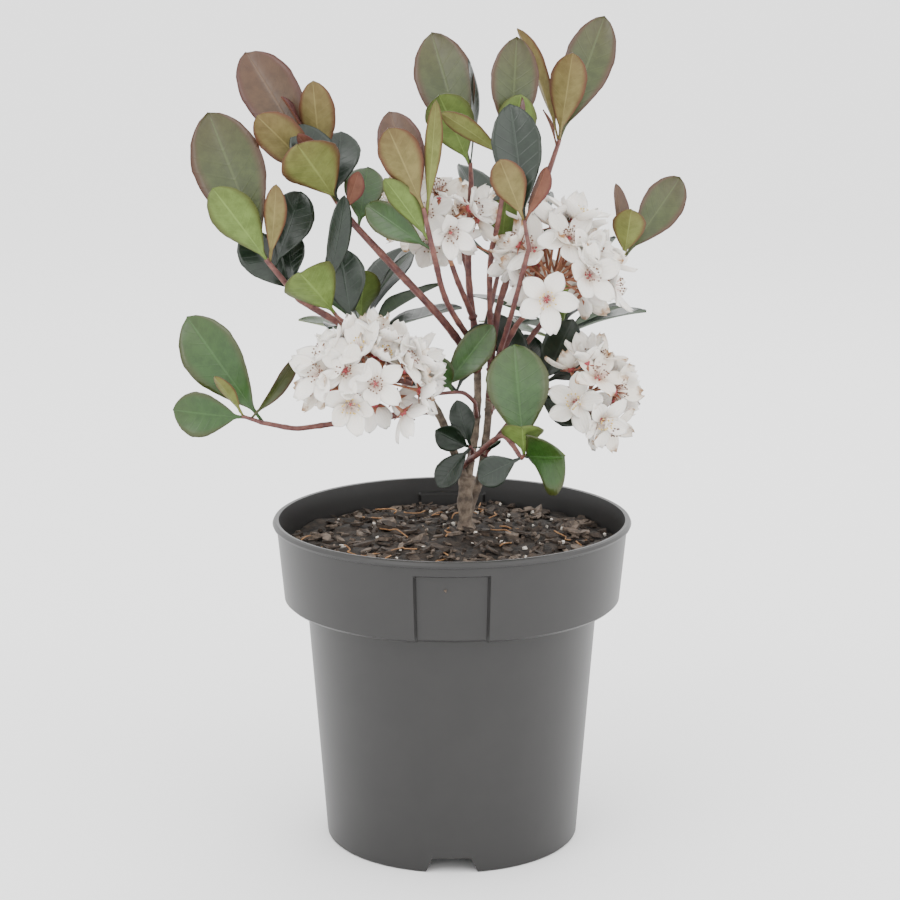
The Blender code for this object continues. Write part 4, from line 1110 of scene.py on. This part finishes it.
def fine_pot(material):
    """The pot's profile turned in many columns, with its foot notches and drain holes cut out."""
    columns, edge, outer = pot_columns()
    verts = []
    rings = []
    profile = pot_profile()
    for radius, height, recessed in profile:
        if radius == 0.0:
            rings.append([len(verts)])
            verts.append((0.0, 0.0, height))
            continue
        ring = []
        for angle in columns:
            depth = RECESS_DEPTH * recess_share(angle, edge, outer) if recessed else 0.0
            ring.append(len(verts))
            verts.append(((radius - depth) * math.sin(angle), -(radius - depth) * math.cos(angle), height))
        rings.append(ring)
    faces = []
    count = len(columns)
    for lower, upper in zip(rings, rings[1:] + rings[:1]):
        for k in range(count):
            n = (k + 1) % count
            if len(lower) == 1 and len(upper) == 1:
                break
            if len(upper) == 1:
                faces.append((lower[k], lower[n], upper[0]))
            elif len(lower) == 1:
                faces.append((lower[0], upper[n], upper[k]))
            else:
                faces.append((lower[k], lower[n], upper[n], upper[k]))
    pot = new_object("pot_dressed", verts, faces)
    tools = bpy.data.collections.new("pot_tools")
    cutters = foot_notches() + drain_holes()
    for cutter in cutters:
        tools.objects.link(cutter)
    cut = pot.modifiers.new("Cut", "BOOLEAN")
    cut.operation = "DIFFERENCE"
    cut.operand_type = "COLLECTION"
    cut.collection = tools
    cut.solver = "EXACT"
    graph = bpy.context.evaluated_depsgraph_get()
    mesh = bpy.data.meshes.new_from_object(pot.evaluated_get(graph))
    pot.modifiers.clear()
    pot.data = mesh
    bpy.data.collections.remove(tools)
    for cutter in cutters:
        bpy.data.objects.remove(cutter)
    mesh.materials.clear()
    mesh.materials.append(material)
    mesh.polygons.foreach_set("use_smooth", [True] * len(mesh.polygons))
    mesh.set_sharp_from_angle(angle=math.radians(28))
    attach(pot, "root")
    return pot


def pot_columns():
    edge = math.degrees(math.asin(RECESS_HALF_WIDTH / COLLAR_FOOT_RADIUS))
    slope = math.degrees(RECESS_SLOPE / COLLAR_FOOT_RADIUS)
    step = 360 / POT_COLUMNS
    plain = [i * step for i in range(POT_COLUMNS)]
    clear = edge + slope + step * 0.4
    columns = [a for a in plain if min(a % 180, 180 - a % 180) > clear]
    inner = [-edge + 2 * edge * i / 10 for i in range(11)]
    for middle in (0, 180):
        for offset in [-edge - slope, *inner, edge + slope]:
            columns.append((middle + offset) % 360)
    return [math.radians(a) for a in sorted(columns)], math.radians(edge), math.radians(edge + slope)


def chip(bag, place, long, wide, thick, turn, tilt, rng):
    """An uneven flake of bark."""
    frame = Matrix.Rotation(turn, 3, "Z") @ Matrix.Rotation(tilt, 3, "Y")
    frame = frame @ Matrix.Rotation(rng.uniform(-0.5, 0.5), 3, "X")
    verts = []
    for end in (-1, 1):
        for k in range(6):
            angle = math.pi * k / 3
            swell = rng.uniform(0.65, 1.1)
            x = math.cos(angle) * long / 2 * swell
            y = math.sin(angle) * wide / 2 * swell
            verts.append(place + frame @ Vector((x, y, end * thick / 2 * rng.uniform(0.5, 1.2))))
    faces = [(5, 4, 3, 2, 1, 0), (6, 7, 8, 9, 10, 11)]
    faces += [(k, (k + 1) % 6, (k + 1) % 6 + 6, k + 6) for k in range(6)]
    bag.add(verts, faces)


def compost_surface(bag, rim):
    """The compost's lumpy surface, which keeps inside the wall's two recesses."""
    verts, faces = [], []
    for i in range(BED_RINGS + 1):
        for k in range(BED_COLUMNS):
            angle = 2 * math.pi * k / BED_COLUMNS
            radius = rim * i / BED_RINGS
            if min(angle % math.pi, math.pi - angle % math.pi) < RECESS_HALF_ANGLE:
                radius = min(radius, rim - RECESS_DEPTH)
            x, y = radius * math.sin(angle), -radius * math.cos(angle)
            lump = noise.noise(Vector((x, y, 0)) * 0.32) + 0.6 * noise.noise(Vector((x, y, 5)) * 0.9)
            verts.append(Vector((x, y, compost_height(x, y) + 0.7 * lump - 0.4)))
    for i in range(BED_RINGS):
        for k in range(BED_COLUMNS):
            inner, outer = i * BED_COLUMNS, (i + 1) * BED_COLUMNS
            n = (k + 1) % BED_COLUMNS
            faces.append((inner + k, outer + k, outer + n, inner + n))
    bag.add(verts, faces)


def compost_bed(bags):
    """The compost's surface, and the chips, grains and fibres that lie on it."""
    rng = random.Random(SEED)
    rim = collar_radius(COMPOST_EDGE) - WALL - GAP
    compost_surface(bags["compost_bed"], rim)
    for _ in range(CHIPS):
        radius, angle = rim * 0.96 * math.sqrt(rng.random()), rng.uniform(0, 6.28)
        x, y = radius * math.cos(angle), radius * math.sin(angle)
        if math.hypot(x - TRUNK_FOOT[0], y - TRUNK_FOOT[1]) < 4.5 or abs(y) > 62:
            continue
        place = Vector((x, y, compost_height(x, y) + rng.uniform(-0.2, 0.8)))
        long = 2.0 + 10.0 * rng.random() ** 3
        target = bags["chips_pale" if rng.random() < PALE_CHIPS else "chips_dark"]
        wide, thick = long * rng.uniform(0.3, 0.6), rng.uniform(0.5, 1.6)
        chip(target, place, long, wide, thick, rng.uniform(0, 6.28), rng.uniform(-0.4, 0.4), rng)
    for _ in range(PERLITE):
        radius, angle = rim * 0.95 * math.sqrt(rng.random()), rng.uniform(0, 6.28)
        x, y = radius * math.cos(angle), radius * math.sin(angle)
        size = rng.uniform(0.5, 1.3)
        place = Vector((x, y, compost_height(x, y) + 0.5))
        chip(bags["perlite"], place, size * 1.6, size * 1.3, size, rng.uniform(0, 6), 0.2, rng)
    for _ in range(FIBRES):
        radius, angle = rim * 0.85 * math.sqrt(rng.random()), rng.uniform(0, 6.28)
        start = Vector((radius * math.cos(angle), radius * math.sin(angle), 0))
        turn = rng.uniform(0, 6.28)
        points = []
        for step in range(5):
            ahead = Vector((math.cos(turn), math.sin(turn), 0))
            point = start + ahead * (step * rng.uniform(1.6, 3.2))
            turn += rng.uniform(-0.4, 0.4)
            if math.hypot(point.x, point.y) > rim - 3:
                break
            point.z = compost_height(point.x, point.y) + 0.9 + 0.5 * rng.random()
            points.append(point)
        if len(points) > 2:
            curve = spline(points, 8)
            bags["fibres"].add(*tube(curve, [FIBRE_RADIUS] * len(curve), 4))


def stage_and_light():
    """A plain pale floor, a white surround and three soft lamps."""
    mesh = bpy.data.meshes.new("floor")
    half = FLOOR_HALF_SIZE
    corners = [(-half, -half, 0), (half, -half, 0), (half, half, 0), (-half, half, 0)]
    mesh.from_pydata(corners, [], [(0, 1, 2, 3)])
    floor = bpy.data.objects.new("floor", mesh)
    bpy.context.scene.collection.objects.link(floor)
    shader = Shader("floor", 0.9)
    blotches = shader.maths("MULTIPLY", shader.noise(1.5), 0.1)
    shader.colour(shader.mix(blotches, FLOOR_PALE, FLOOR_DIM))
    mesh.materials.append(shader.material)
    world = bpy.data.worlds.new("studio")
    world.use_nodes = True
    backdrop = world.node_tree.nodes["Background"]
    backdrop.inputs["Color"].default_value = (1.0, 1.0, 1.0, 1.0)
    backdrop.inputs["Strength"].default_value = SURROUND_STRENGTH
    bpy.context.scene.world = world
    for name, place, size, power, aim in LAMPS:
        data = bpy.data.lights.new(name, "AREA")
        data.size = size
        data.energy = power
        lamp = bpy.data.objects.new(name, data)
        lamp.location = place
        lamp.rotation_euler = (Vector(aim) - Vector(place)).to_track_quat("-Z", "Y").to_euler()
        bpy.context.scene.collection.objects.link(lamp)


def set_camera():
    data = bpy.data.cameras.new("camera")
    data.lens = CAMERA_LENS
    data.sensor_width = 36.0
    data.shift_x = CAMERA_SHIFT_X
    data.dof.use_dof = False
    camera = bpy.data.objects.new("camera", data)
    camera.location = CAMERA_PLACE
    camera.rotation_euler = (math.radians(CAMERA_PITCH), 0.0, 0.0)
    bpy.context.scene.collection.objects.link(camera)
    bpy.context.scene.camera = camera


def plain(box):
    return [[float(value) for value in corner] for corner in box]


def main():
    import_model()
    bags = {kind: Bag() for kind in ("petals", "petals_worn", *MOTTLED)}
    for tint in TINTS.values():
        bags["leaves_" + tint[0]] = Bag()
    curves, crowd = grow_limbs()
    dress_limbs(curves, bags)
    for name in SHOOTS:
        dress_shoot(name, curves, crowd, bags)
    for name in TRUSSES:
        dress_truss(name, curves, crowd, bags)
    compost_bed(bags)
    looks = {
        "petals": (petal_material("petal", (0.86, 0.83, 0.78), (0.70, 0.60, 0.50), False), "petal"),
        "petals_worn": (petal_material("petal_worn", (0.80, 0.75, 0.67), (0.60, 0.45, 0.34), True), "petal"),
    }
    for kind, (*look, slot) in MOTTLED.items():
        looks[kind] = (mottled(*look), slot)
    for kind, (material, slot) in looks.items():
        bags[kind].piece(kind, [material], slot, smooth=kind not in FLAT_SHADED)
    leafy = []
    for colour, upper, under, edge, roughness in TINTS.values():
        sides = [
            leaf_side("leaf_" + colour, upper, edge, roughness, False),
            leaf_side("under_" + colour, under, tuple(e * 1.4 for e in edge), 0.6, True),
        ]
        leafy.append(bags["leaves_" + colour].piece("leaves_" + colour, sides, "leaf"))
    pot = fine_pot(mottled("pot_plastic", *PLASTIC_TONES, 60.0, 0.42, 0.00008, 0.2))
    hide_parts("pot")
    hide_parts("compost")
    stems = [name for name in LIMBS if name.startswith("stem")]
    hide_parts("trunk", *stems)
    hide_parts(*(name for name in LIMBS if name not in stems))
    for piece in leafy:
        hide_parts(*SHOOTS)
    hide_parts(*TRUSSES)
    stage_and_light()
    set_camera()


main()
